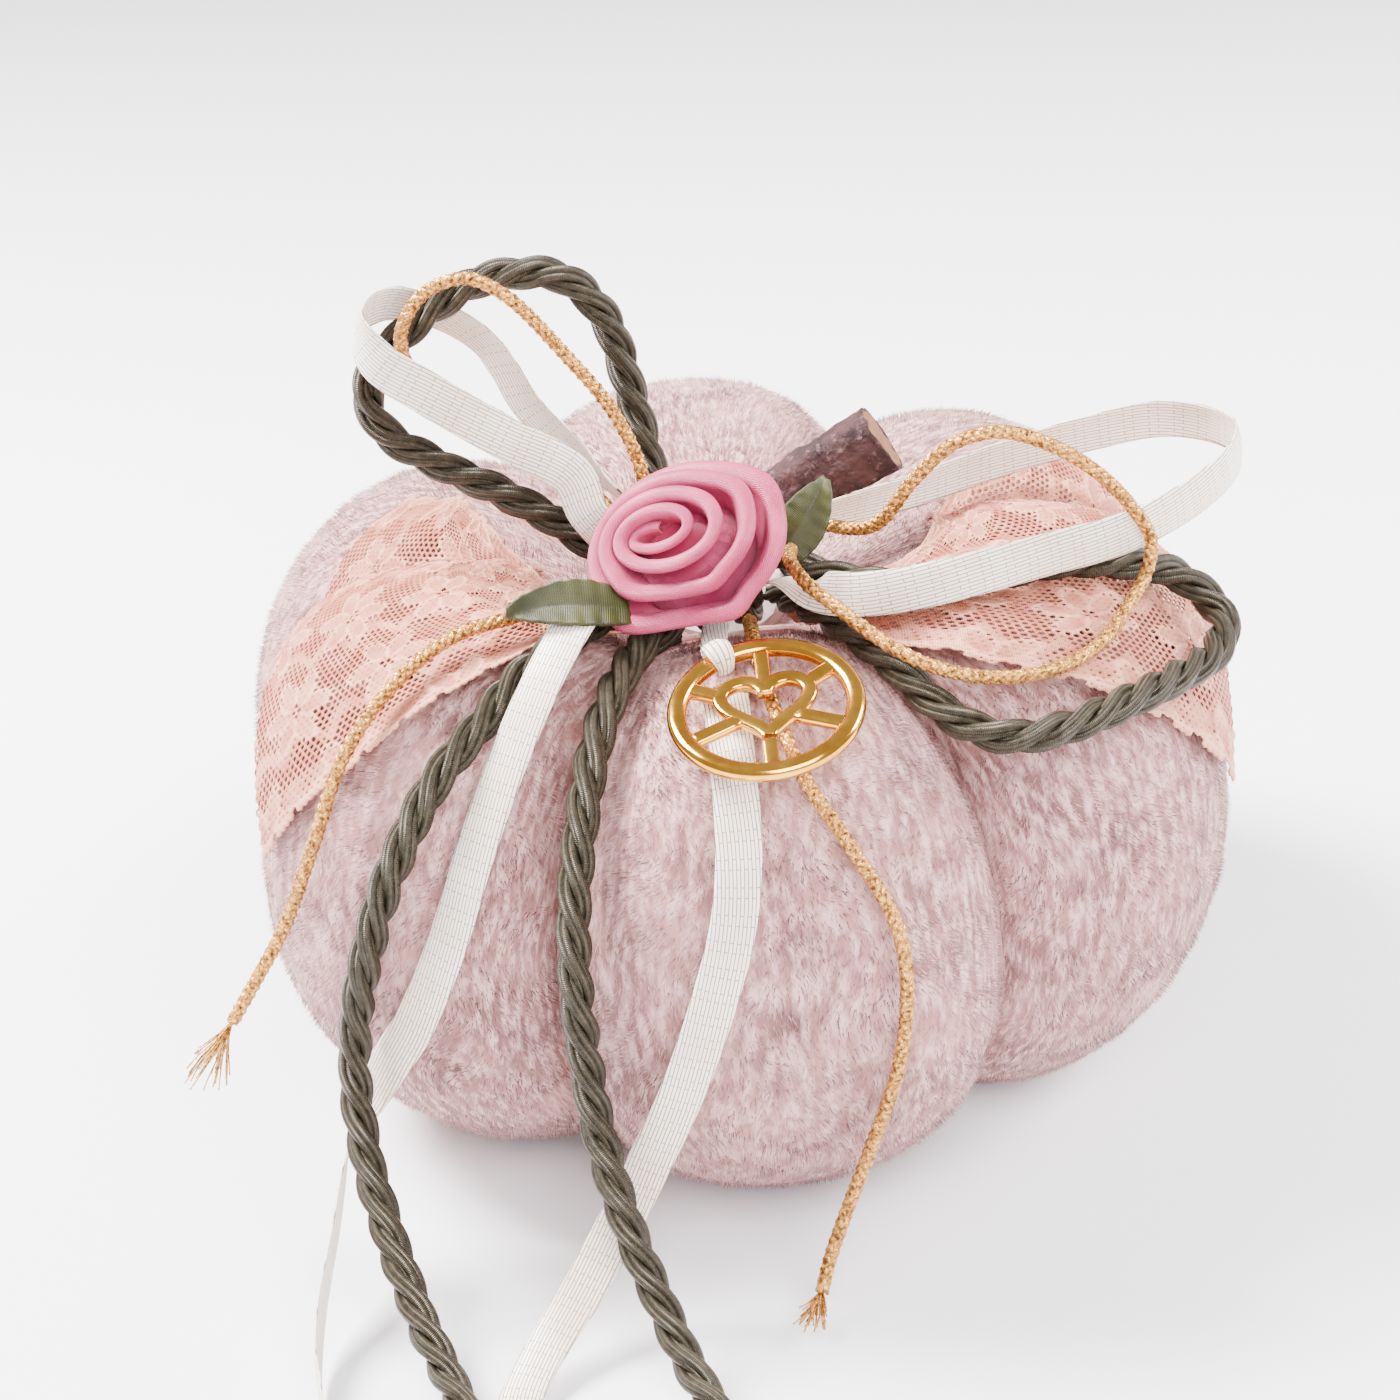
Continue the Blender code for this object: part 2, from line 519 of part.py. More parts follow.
SATIN_LOOP_RIGHT = [
    (8.4, -27, 84.4), (12.8, -33, 85.6), (18.6, -36.6, 86.6), (26.2, -37, 87.4), (34.8, -34.3, 87.5),
    (44, -29.8, 87), (55, -24.4, 86.5), (65, -16.4, 86.7), (72.2, -8, 87.6), (74.2, -0.5, 87.8),
    (70.5, 5.5, 87.6), (64, 8.5, 87.2), (56, 8.5, 86), (47.5, 7.5, 84.6), (38.5, 5, 83.4),
    (30, 0.5, 83), (21, -5.5, 83.8), (14, -10, 84.4)]
SATIN_LOOP_RIGHT_FACES = [
    (0.6, -0.7, 0.5), (0.5, -0.75, 0.45), (0.3, -0.9, 0.35), (0.2, -0.9, 0.35), (0.3, -0.9, 0.3),
    (0.4, -0.88, 0.2), (0.5, -0.85, 0.15), (0.65, -0.75, 0.1), (0.85, -0.5, 0.1), (1, 0, 0.1),
    (0.8, 0.6, 0.1), (0.3, 0.95, 0.1), (-0.1, 1, 0.1), (-0.2, 1, 0.1), (-0.35, 0.95, 0.1),
    (-0.5, 0.85, 0.15), (-0.6, 0.8, 0.2), (-0.6, 0.7, 0.3)]
SATIN_TAIL_LEFT = [
    (-16.2, -28.8, 85.4), (-18.3, -34, 86.1), (-20.6, -39.8, 86), (-24.7, -46, 81.9), (-29.6, -51.3, 74),
    (-34.8, -56.2, 63.2), (-39.8, -59.8, 50.8), (-45.4, -60, 38.4), (-49.3, -57.2, 31), (-53, -56, 24),
    (-56.3, -60, 17.8), (-58.3, -69.5, 12), (-60.2, -78.5, 6.8), (-60.6, -86.5, 4.2),
    (-59.8, -94, 3.6), (-58.5, -103, 3.5)]
SATIN_TAIL_LEFT_FACES = [
    (0, -0.3, 0.95), (-0.1, -0.4, 0.9), (-0.3, -0.6, 0.8), (-0.45, -0.7, 0.6), (-0.45, -0.7, 0.5),
    (-0.5, -0.75, 0.4), (-0.55, -0.8, 0.2), (-0.6, -0.8, 0), (-0.68, -0.72, -0.1), (-0.8, -0.6, -0.15),
    (-0.95, -0.3, -0.1), (-1, 0, 0), (-1, 0.1, 0), (-1, 0.15, 0), (-1, 0.15, 0.05), (-1, 0.15, 0.1)]
SATIN_NECK = [(-1, -27, 78.4), (-1.4, -32, 80), (-1.6, -37.5, 81.2), (-1.6, -42.4, 82)]
SATIN_NECK_FACES = [(0, 0, 1), (0, -0.1, 1), (0.1, -0.1, 1), (0.1, -0.2, 1)]
SATIN_TAIL_RIGHT = [
    (-0.6, -50.2, 80.4), (-0.5, -55.5, 78.6), (-0.3, -62.2, 74.8), (-0.4, -68.8, 67.7),
    (-1.7, -73, 59.6), (-5, -75, 48.8), (-10.2, -74.4, 34), (-14.8, -74.2, 24), (-19.5, -76.2, 15.5),
    (-25, -81.2, 8.6), (-30.5, -87.8, 3.9), (-34, -95, 1.5), (-34, -102, 0.9), (-32, -109, 0.8)]
SATIN_TAIL_RIGHT_FACES = [
    (0, -0.3, 0.95), (0, -0.4, 0.9), (0, -0.7, 0.7), (0, -0.85, 0.5), (-0.05, -0.97, 0.2), (-0.1, -1, 0.05),
    (-0.1, -1, -0.1), (-0.1, -0.97, 0.1), (-0.2, -0.85, 0.4), (-0.25, -0.7, 0.65), (-0.2, -0.45, 0.85),
    (-0.1, -0.2, 1), (0, 0, 1), (0, 0, 1)]
ROPE_END_LEFT = (-34.9, -117.5, 4.6)
ROPE_END_RIGHT = (-4.1, -117.6, 4.6)
ROPE_END_RADIUS = 4.2 * MM


def add_knot():
    """The bow's knot, where every strand is drawn together: a lump of the wrapped turns."""
    turns = np.radians([0, 25, 50, 70, 90, 110, 130, 155, 180])
    profile = [(math.sin(a), -math.cos(a)) for a in turns]
    profile[0], profile[-1] = (0, -1), (0, 1)
    made = add_lathe("bow_knot", profile, (0, 0, 0), (0, 0, 1), 16, ROPE)
    made.data.transform(Matrix.Diagonal((*KNOT_HALF_SIZE, 1)))
    made.data.transform(Matrix.Translation(KNOT_CENTRE))


def add_strands():
    """Two loops and two tails of each strand, and the knots and frayed tips at their ends."""
    add_tube("rope_loop_left", ROPE_LOOP_LEFT, ROPE_DIAMETER, ROPE)
    add_tube("rope_loop_right", ROPE_LOOP_RIGHT, ROPE_DIAMETER, ROPE)
    add_tube("rope_tail_left", ROPE_TAIL_LEFT, ROPE_DIAMETER, ROPE)
    add_tube("rope_tail_right", ROPE_TAIL_RIGHT, ROPE_DIAMETER, ROPE)
    add_tube("gold_loop_left", GOLD_LOOP_LEFT, GOLD_DIAMETER, GOLD_CORD)
    add_tube("gold_loop_right", GOLD_LOOP_RIGHT, GOLD_DIAMETER, GOLD_CORD)
    add_tube("gold_tail_left", GOLD_TAIL_LEFT, GOLD_DIAMETER, GOLD_CORD)
    add_tube("gold_tail_right", GOLD_TAIL_RIGHT, GOLD_DIAMETER, GOLD_CORD)
    ribbon = (RIBBON_WIDTH, RIBBON_THICKNESS, SATIN, 4.5 * MM)
    add_band("satin_loop_left", SATIN_LOOP_LEFT, SATIN_LOOP_LEFT_FACES, *ribbon)
    add_band("satin_loop_right", SATIN_LOOP_RIGHT, SATIN_LOOP_RIGHT_FACES, *ribbon)
    add_band("satin_tail_left", SATIN_TAIL_LEFT, SATIN_TAIL_LEFT_FACES, *ribbon)
    add_band("satin_tail_right", SATIN_TAIL_RIGHT, SATIN_TAIL_RIGHT_FACES, *ribbon)
    add_band("satin_neck", SATIN_NECK, SATIN_NECK_FACES, TIE_WIDTH, RIBBON_THICKNESS, SATIN, 4.5 * MM)
    add_end_knot("rope_end_left", ROPE_TAIL_LEFT, ROPE_END_LEFT)
    add_end_knot("rope_end_right", ROPE_TAIL_RIGHT, ROPE_END_RIGHT)
    add_fray("gold_fray_left", GOLD_TAIL_LEFT, (-75.5, -50.5, 27))
    add_fray("gold_fray_right", GOLD_TAIL_RIGHT, (5.2, -85.5, 2.5))


def add_end_knot(name, route, place):
    """The knot at a rope's end, a round lump flattened along the rope."""
    turns = np.radians([0, 30, 60, 90, 120, 150, 180])
    along = 0.82
    profile = [(ROPE_END_RADIUS * math.sin(a), -along * ROPE_END_RADIUS * math.cos(a)) for a in turns]
    profile[0], profile[-1] = (0, -along * ROPE_END_RADIUS), (0, along * ROPE_END_RADIUS)
    axis = unit(np.array(place) - route[-1])
    add_lathe(name, profile, np.array(place) * MM, axis, 14, ROPE)


def add_fray(name, route, tip):
    """The frayed end of a gold cord: a cone that widens from the cord to the loose strands' tips."""
    start = np.array(route[-1], float) * MM
    line = np.array(tip, float) * MM - start
    length = np.linalg.norm(line)
    axis = line / length
    profile = [(0, 0), (0.7 * MM, 0), (1.0 * MM, 0.4 * length), (1.9 * MM, length), (0, length)]
    add_lathe(name, profile, start + axis * 3 * GAP, axis, 8, GOLD_CORD)


# ---------------------------------------------------------------- rose and leaves

ROSE_AXIS = unit(np.array([-0.35, -0.64, 0.68]))
ROSE_CENTRE = np.array([-3.5, -29.4, 11.4]) * MM + (0, 0, TOP)


def add_rose():
    """The ribbon rose: a squat bud of wound satin, narrow at the base and hollowed at the crown."""
    r, h = ROSE_RADIUS, ROSE_HEIGHT
    profile = [(0, -0.46 * h), (0.62 * r, -0.46 * h), (0.86 * r, -0.3 * h), (r, -0.02 * h), (0.96 * r, 0.2 * h),
               (0.78 * r, 0.4 * h), (0.5 * r, 0.52 * h), (0.25 * r, 0.54 * h), (0, 0.48 * h)]
    add_lathe("ribbon_rose", profile, ROSE_CENTRE, ROSE_AXIS, 24, ROSE)


def add_leaf(name, base, tip, facing):
    """A folded ribbon leaf: a pointed oval plate, arched a little along its length."""
    base, tip = np.array(base, float) * MM, np.array(tip, float) * MM
    line = unit(tip - base)
    across = unit(np.cross(line, facing))
    normal = np.cross(across, line)
    length = np.linalg.norm(tip - base)
    rows, columns = 9, 5
    share = np.linspace(0.0, 1.0, rows)[:, None]
    half = LEAF_WIDTH / 2 * np.sin(math.pi * (0.2 + 0.78 * share)) ** 0.8
    side = np.linspace(-1, 1, columns)[None, :]
    arch = 1.2 * MM * np.sin(math.pi * share) + 0.7 * MM * np.abs(side) * np.sin(math.pi * share)
    middle = base + line * (share * length)[..., None] + across * (half * side)[..., None]
    middle = middle + normal * arch[..., None]
    under = middle - normal * LEAF_THICKNESS / 2
    over = middle + normal * LEAF_THICKNESS / 2
    points = np.vstack([under.reshape(-1, 3), over.reshape(-1, 3)])
    add_mesh(name, points, slab_faces(rows, columns), LEAF)


# ---------------------------------------------------------------- charm and its tie

CHARM_CENTRE = np.array([4.5, -56.3, 1.5]) * MM + (0, 0, TOP)


def charm_frame():
    """The charm's own axes: right, back and up out of its face."""
    tilt, roll = math.radians(CHARM_TILT), math.radians(CHARM_ROLL)
    up = unit(np.array([-math.sin(roll), -math.sin(tilt), math.cos(tilt)]))
    right = unit(np.cross((0, 1, 0), up))
    return right, np.cross(up, right), up


def charm_matrix():
    right, back, up = charm_frame()
    turn = Matrix((right, back, up)).transposed()
    return Matrix.Translation(CHARM_CENTRE) @ turn.to_4x4()


def tie_point():
    """The middle of the rim where the satin passes over it, and the rim's direction there."""
    right, back, _ = charm_frame()
    angle = math.radians(TIE_ANGLE)
    outward = right * math.cos(angle) + back * math.sin(angle)
    along = -right * math.sin(angle) + back * math.cos(angle)
    return CHARM_CENTRE + outward * (CHARM_RADIUS - CHARM_RIM / 2), outward, along


def extruded(outline, hole, thickness):
    """A flat plate between two outlines with as many points, centred on its own mid plane."""
    count = len(outline)
    layers = []
    for height in (-thickness / 2, thickness / 2):
        for ring in (outline, hole):
            layers.append(np.hstack([ring, np.full((count, 1), height)]))
    points = np.vstack(layers)
    faces = []
    for a in range(count):
        b = (a + 1) % count
        faces.append((a, count + a, count + b, b))
        faces.append((2 * count + a, 2 * count + b, 3 * count + b, 3 * count + a))
        faces.append((a, b, 2 * count + b, 2 * count + a))
        faces.append((count + a, 3 * count + a, 3 * count + b, count + b))
    return points, faces


def add_charm():
    """The cast charm: a rounded rim, an open heart inside it and six bars that join them."""
    sides = 56
    turns = np.linspace(0, 2 * math.pi, sides, endpoint=False)
    corner = np.radians(np.arange(22.5, 360, 45))
    radius = CHARM_RADIUS - CHARM_RIM / 2 + CHARM_RIM / 2 * np.cos(corner) / math.cos(math.radians(22.5))
    height = CHARM_RIM / 2 * np.sin(corner) / math.cos(math.radians(22.5))
    rings = np.stack([np.outer(np.cos(turns), radius), np.outer(np.sin(turns), radius),
                      np.tile(height, (sides, 1))], -1).reshape(-1, 3)
    faces = []
    for a in range(sides):
        b = (a + 1) % sides
        for c in range(8):
            d = (c + 1) % 8
            faces.append((a * 8 + c, b * 8 + c, b * 8 + d, a * 8 + d))
    charm = add_mesh("charm", rings, faces, GOLD)

    t = np.linspace(0, 2 * math.pi, 40, endpoint=False) + 0.0785
    heart = np.stack([16 * np.sin(t) ** 3,
                      13 * np.cos(t) - 5 * np.cos(2 * t) - 2 * np.cos(3 * t) - np.cos(4 * t)], 1)
    heart = (heart + (0, 2.5)) * 0.40 * MM
    inner_share = 1 - CHARM_BAR / (6.4 * MM)
    points, quads = extruded(heart * 1.1, heart * 1.1 * inner_share, CHARM_WEB)
    pieces = [add_mesh("charm_heart", points, quads, GOLD, smooth=False)]
    reach = CHARM_RADIUS - CHARM_RIM * 0.6
    bars = ((90, 3.2), (205, 3.7), (335, 3.7), (270, 5.4), (35, 6.2), (152, 6.2))
    for index, (angle, start) in enumerate(bars):
        outer = math.radians(angle)
        away = np.array([math.cos(outer), math.sin(outer)])
        side = np.array([-away[1], away[0]]) * CHARM_BAR / 2
        flat = [away * start * MM - side, away * reach - side, away * reach + side, away * start * MM + side]
        level = np.full((4, 1), CHARM_WEB * 0.45)
        bar = np.vstack([np.hstack([flat, -level]), np.hstack([flat, level])])
        quads = [(0, 1, 2, 3), (4, 5, 6, 7), (0, 1, 5, 4), (1, 2, 6, 5), (2, 3, 7, 6), (3, 0, 4, 7)]
        pieces.append(add_mesh(f"charm_bar_{index}", bar, quads, GOLD, smooth=False))
    for piece in pieces:
        piece.hide_render = True
        piece.display_type = "WIRE"
        union = charm.modifiers.new("join " + piece.name, "BOOLEAN")
        union.operation = "UNION"
        union.object = piece
    pivot = tie_point()[0]
    for thing in [charm] + pieces:
        thing.data.transform(charm_matrix())
        thing.data.transform(Matrix.Translation(-pivot))
        thing.location = pivot
    return charm


def add_tie():
    """The bight of satin that passes over the charm's rim and holds it: an upside-down U."""
    pivot, outward, along = tie_point()
    up = charm_frame()[2]
    inner = CHARM_RIM / 2 / math.cos(math.radians(22.5)) + GAP
    centre_line = inner + TIE_THICKNESS / 2
    leg = 1.3 * MM
    outline = []
    for reach in (centre_line + TIE_THICKNESS / 2, centre_line - TIE_THICKNESS / 2):
        arc = [(reach, -leg)]
        arc += [(reach * math.cos(a), reach * math.sin(a)) for a in np.linspace(0, math.pi, 9)]
        arc += [(-reach, -leg)]
        outline.append(np.array(arc))
    rows = len(outline[0])
    rings = []
    for index in range(rows):
        for side, layer in ((-1, 0), (1, 0), (1, 1), (-1, 1)):
            away, lift = outline[layer][index]
            rings.append(outward * away + up * lift + along * side * TIE_WIDTH / 2)
    faces = grid_faces(rows, 4, closed_columns=True)
    last = 4 * (rows - 1)
    faces += [(0, 1, 2, 3), (last, last + 1, last + 2, last + 3)]
    tie = add_mesh("charm_tie", rings, faces, SATIN, smooth=False)
    tie.location = pivot


def build():
    for old in list(bpy.data.objects):
        bpy.data.objects.remove(old, do_unlink=True)
    add_cover()
    add_filling()
    add_threads()
    add_base_disc()
    add_stem()
    add_glue()
    add_lace()
    add_knot()
    add_strands()
    add_rose()
    add_leaf("rose_leaf_left", (-16.8, -28.4, 89), (-27.6, -29.4, 88.8), (-0.1, -0.5, 0.85))
    add_leaf("rose_leaf_right", (9, -22.5, 90), (15, -17.5, 97.5), (0.3, -0.8, 0.5))
    add_charm()
    add_tie()


build()
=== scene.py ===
# %% [markdown]
# # A velvet pumpkin ring pillow
# The pillow is a stuffed velvet pumpkin with a twig stem. A strip of lace crosses it, and a bow of
# sage rope, ivory satin ribbon and gold cord is tied over the lace. A pink ribbon rose covers the
# knot, and a cast charm hangs from the satin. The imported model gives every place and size, so each
# piece below is made where the real one is, in metres, with +Z up and the front along -Y.

# %% Load the frame and keep its box
import math

import bmesh
import bpy
import numpy as np
from mathutils import Matrix


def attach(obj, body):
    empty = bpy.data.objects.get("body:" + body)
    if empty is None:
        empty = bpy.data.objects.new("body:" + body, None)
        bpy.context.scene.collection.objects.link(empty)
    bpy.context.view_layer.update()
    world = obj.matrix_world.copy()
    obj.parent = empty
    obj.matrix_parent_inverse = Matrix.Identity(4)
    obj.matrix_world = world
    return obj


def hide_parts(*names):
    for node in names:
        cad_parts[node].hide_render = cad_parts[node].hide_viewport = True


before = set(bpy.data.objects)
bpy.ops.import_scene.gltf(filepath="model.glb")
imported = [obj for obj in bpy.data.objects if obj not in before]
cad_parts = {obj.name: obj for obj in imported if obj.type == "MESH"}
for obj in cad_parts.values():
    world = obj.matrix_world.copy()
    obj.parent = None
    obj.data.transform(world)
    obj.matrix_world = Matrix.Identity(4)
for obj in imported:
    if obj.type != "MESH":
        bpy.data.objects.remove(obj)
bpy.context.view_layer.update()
MM = 0.001

# %% [markdown]
# ## The camera
# A product shot from a little above uses a long lens, so the near lobes don't balloon. The camera is
# given by where it aims, how far away it is, how high it stands and how far it is rolled. A matrix is
# built from its right, up and backward directions, which is safer than turning by three angles.

# %% Place the camera
CAMERA_AIM = np.array([-4, 0, 51]) * MM
CAMERA_DISTANCE = 560 * MM
CAMERA_ELEVATION = math.radians(30)
CAMERA_ROLL = math.radians(-4)
CAMERA_LENS = 98.5


def place_camera():
    """Backward points from the aim to the camera; right and up are square to it, then rolled."""
    backward = np.array([0, -math.cos(CAMERA_ELEVATION), math.sin(CAMERA_ELEVATION)])
    level_right = np.array([1.0, 0, 0])
    level_up = np.cross(backward, level_right)
    turn, lift = math.cos(CAMERA_ROLL), math.sin(CAMERA_ROLL)
    right = turn * level_right + lift * level_up
    up = -lift * level_right + turn * level_up
    camera = bpy.data.objects.new("camera", bpy.data.cameras.new("camera"))
    bpy.context.scene.collection.objects.link(camera)
    place = Matrix(np.stack([right, up, backward], 1)).to_4x4()
    camera.matrix_world = Matrix.Translation(CAMERA_AIM + backward * CAMERA_DISTANCE) @ place
    camera.data.lens = CAMERA_LENS
    camera.data.clip_start = 0.02
    bpy.context.scene.camera = camera
    return camera


print("camera at", [round(value, 3) for value in place_camera().location])

# %% [markdown]
# ## Surfaces as arrays
# Every new piece is a surface worked out on a grid: a whole array of points, whose rows run along the
# piece and whose columns run across or around it. One helper turns such a grid into faces with its own
# UV map, another joins several grids into one mesh. Blender's operators could draw the same shapes by
# hand, but formulas keep each piece exact and easy to change.

# %% Helpers that turn grids of points into pieces

def unit(vectors):
    """Each vector divided by its length."""
    vectors = np.asarray(vectors, float)
    return vectors / np.maximum(np.linalg.norm(vectors, axis=-1, keepdims=True), 1e-12)


def smooth_path(points, spacing):
    """Points a spacing apart on the centripetal Catmull-Rom curve through the route's points."""
    route = np.asarray(points, float)
    route = np.vstack([2 * route[0] - route[1], route, 2 * route[-1] - route[-2]])
    fine = []
    for p0, p1, p2, p3 in zip(route[:-3], route[1:-2], route[2:-1], route[3:]):
        k1 = np.linalg.norm(p1 - p0) ** 0.5
        k2 = k1 + np.linalg.norm(p2 - p1) ** 0.5
        k3 = k2 + np.linalg.norm(p3 - p2) ** 0.5
        t = np.linspace(k1, k2, 24, endpoint=False)[:, None]
        a1 = (k1 - t) / k1 * p0 + t / k1 * p1
        a2 = (k2 - t) / (k2 - k1) * p1 + (t - k1) / (k2 - k1) * p2
        a3 = (k3 - t) / (k3 - k2) * p2 + (t - k2) / (k3 - k2) * p3
        b1 = (k2 - t) / k2 * a1 + t / k2 * a2
        b2 = (k3 - t) / (k3 - k1) * a2 + (t - k1) / (k3 - k1) * a3
        fine.append((k2 - t) / (k2 - k1) * b1 + (t - k1) / (k2 - k1) * b2)
    fine = np.vstack(fine + [route[-2:-1]])
    along = distance_along(fine)
    places = np.linspace(0.0, along[-1], max(3, int(round(along[-1] / spacing)) + 1))
    return np.stack([np.interp(places, along, fine[:, axis]) for axis in range(3)], 1)


def distance_along(path):
    """Running length of a path at each of its points."""
    return np.concatenate([[0.0], np.cumsum(np.linalg.norm(np.diff(path, axis=0), axis=1))])


def carry_frame(path):
    """Three square directions at each point of a path. The side direction is carried from point to
    point and only loses what points along the path, so it never spins."""
    tangent = unit(np.gradient(path, axis=0))
    side = np.empty_like(tangent)
    side[0] = unit(np.cross(tangent[0], (0, 0, 1)))
    for index in range(1, len(path)):
        carried = side[index - 1]
        side[index] = unit(carried - tangent[index] * (carried @ tangent[index]))
    return tangent, side, np.cross(tangent, side)


def uv_grid(rows, columns):
    """UV of every grid point from one value for each row and one for each column."""
    return np.stack(np.meshgrid(np.asarray(rows, float), np.asarray(columns, float), indexing="ij"), -1)


def surface(points, around=False, along=False, caps=False, uv=None):
    """Vertices and faces of a grid. Around joins its last column to its first, along its last row to
    its first, and caps closes both ends. The UV has one more row or column where the grid is joined."""
    rows, columns = points.shape[:2]
    if uv is None:
        uv = uv_grid(np.linspace(0, 1, rows + along), np.linspace(0, 1, columns + around))
    row = np.arange(rows if along else rows - 1)[:, None]
    column = np.arange(columns if around else columns - 1)[None, :]
    below, beside = (row + 1) % rows, (column + 1) % columns
    corners = np.broadcast_arrays(row * columns + column, row * columns + beside,
                                  below * columns + beside, below * columns + column)
    places = [uv[row, column], uv[row, column + 1], uv[row + 1, column + 1], uv[row + 1, column]]
    faces = [(np.stack(corners, -1).reshape(-1, 4), np.stack(places, 2).reshape(-1, 4, 2))]
    if caps:
        ring = np.arange(columns)
        ends = np.stack([ring[::-1], (rows - 1) * columns + ring])
        faces.append((ends, np.zeros((2, columns, 2))))
    return points.reshape(-1, 3), faces


def make_piece(name, parts, material, attributes=None, smooth=True):
    """One mesh object from several surfaces, with its faces turned outwards."""
    starts = np.cumsum([0] + [len(vertices) for vertices, _ in parts[:-1]])
    vertices = np.vstack([vertices for vertices, _ in parts])
    loops, sizes, places = [], [], []
    for start, (_, groups) in zip(starts, parts):
        for corners, uv in groups:
            loops.append((corners + start).ravel())
            sizes.append(np.full(len(corners), corners.shape[1]))
            places.append(uv.reshape(-1, 2))
    loops, sizes, places = np.concatenate(loops), np.concatenate(sizes), np.concatenate(places)
    mesh = bpy.data.meshes.new(name)
    mesh.vertices.add(len(vertices))
    mesh.vertices.foreach_set("co", vertices.astype(np.float32).ravel())
    mesh.loops.add(len(loops))
    mesh.loops.foreach_set("vertex_index", loops.astype(np.int32))
    mesh.polygons.add(len(sizes))
    mesh.polygons.foreach_set("loop_start", np.concatenate([[0], np.cumsum(sizes)[:-1]]).astype(np.int32))
    mesh.update(calc_edges=True)
    mesh.uv_layers.new(name="UVMap").data.foreach_set("uv", places.astype(np.float32).ravel())
    for key, values in (attributes or {}).items():
        mesh.attributes.new(key, "FLOAT", "POINT").data.foreach_set("value", values.astype(np.float32))
    work = bmesh.new()
    work.from_mesh(mesh)
    bmesh.ops.recalc_face_normals(work, faces=work.faces)
    work.to_mesh(mesh)
    work.free()
    mesh.polygons.foreach_set("use_smooth", np.full(len(sizes), smooth))
    mesh.materials.append(material)
    made = bpy.data.objects.new(name, mesh)
    bpy.context.scene.collection.objects.link(made)
    print(f"{name}: {len(vertices)} points, {len(sizes)} faces")
    return made


def settle(piece, body, slot, *nodes):
    """Hang a piece on its body's empty and hide the imported solids it stands for. The slot is not used."""
    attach(piece, body)
    if nodes:
        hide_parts(*nodes)
    return piece


def swept(path, side, lift, outline, uv=None, closed=False):
    """An outline of (side, lift) offsets carried along a path. The outline is one array for the whole
    path, or one for each of its points."""
    outline = np.broadcast_to(outline, (len(path), *np.asarray(outline).shape[-2:]))
    points = path[:, None] + side[:, None] * outline[..., :1] + lift[:, None] * outline[..., 1:]
    return surface(points, around=True, along=closed, caps=not closed, uv=uv)


print("helpers ready")

# %% [markdown]
# ## Materials from nodes
# Cloth needs detail at the scale of its threads. The patterns read either the UV map, whose numbers
# here are metres along and across a piece, or Object coordinates. Patterns that several finishes share
# are node groups with named inputs. The shader itself stays in each material.

# %% Helpers for materials, and the shared groups

def feed(tree, socket, value):
    """Link a socket to another, or set it to a number or colour."""
    if isinstance(value, bpy.types.NodeSocket):
        tree.links.new(value, socket)
    else:
        socket.default_value = value


def node(tree, kind, inputs=None, **settings):
    """Add a node, set it up, and feed each named input."""
    made = tree.nodes.new(kind)
    for key, value in settings.items():
        setattr(made, key, value)
    for key, value in (inputs or {}).items():
        feed(tree, made.inputs[key], value)
    return made


def maths(tree, operation, first, second=0.0, third=0.0):
    """One Math node: its result for the two or three values."""
    made = node(tree, "ShaderNodeMath", operation=operation)
    for socket, value in zip(made.inputs, (first, second, third)):
        feed(tree, socket, value)
    return made.outputs[0]


def blended(tree, factor, first, second):
    """Two colours mixed by a factor. A colour mix has its sockets at places 0, 6 and 7."""
    made = node(tree, "ShaderNodeMix", data_type="RGBA")
    for index, value in ((0, factor), (6, first), (7, second)):
        feed(tree, made.inputs[index], value)
    return made.outputs[2]


def new_group(name, inputs, outputs):
    """An empty node group with named inputs and outputs, and its two end nodes."""
    tree = bpy.data.node_groups.new(name, "ShaderNodeTree")
    for label, kind in inputs:
        tree.interface.new_socket(label, in_out="INPUT", socket_type="NodeSocket" + kind)
    for label, kind in outputs:
        tree.interface.new_socket(label, in_out="OUTPUT", socket_type="NodeSocket" + kind)
    return tree, tree.nodes.new("NodeGroupInput").outputs, tree.nodes.new("NodeGroupOutput").inputs


def make_mottle():
    """Uneven colour: two colours mixed by soft noise, spread to its full range. The mask is that noise."""
    tree, given, put = new_group(
        "uneven_colour", [("Vector", "Vector"), ("Color", "Color"), ("Other", "Color"),
                          ("Scale", "Float"), ("Detail", "Float")], [("Color", "Color"), ("Mask", "Float")])
    noise = node(tree, "ShaderNodeTexNoise", {"Vector": given["Vector"], "Scale": given["Scale"],
                                              "Detail": given["Detail"], "Roughness": 0.6})
    spread = node(tree, "ShaderNodeMapRange", {"Value": noise.outputs["Fac"], "From Min": 0.32,
                                               "From Max": 0.68}).outputs["Result"]
    feed(tree, put["Color"], blended(tree, spread, given["Color"], given["Other"]))
    feed(tree, put["Mask"], spread)
    return tree


def make_threads():
    """Parallel threads: ridges across V, leaning with U, each a half wave, broken up by a little noise."""
    tree, given, put = new_group(
        "parallel_threads", [("Vector", "Vector"), ("Count", "Float"), ("Lean", "Float")],
        [("Height", "Float")])
    split = node(tree, "ShaderNodeSeparateXYZ", {"Vector": given["Vector"]}).outputs
    noise = node(tree, "ShaderNodeTexNoise", {"Vector": given["Vector"], "Scale": 900.0, "Detail": 1.0})
    across = maths(tree, "MULTIPLY", split["Y"], given["Count"])
    leaning = maths(tree, "MULTIPLY_ADD", split["X"], given["Lean"], across)
    wobble = maths(tree, "MULTIPLY_ADD", noise.outputs["Fac"], 0.25, leaning)
    wave = maths(tree, "ABSOLUTE", maths(tree, "SINE", maths(tree, "MULTIPLY", wobble, math.pi)))
    feed(tree, put["Height"], maths(tree, "POWER", wave, 0.6))
    return tree


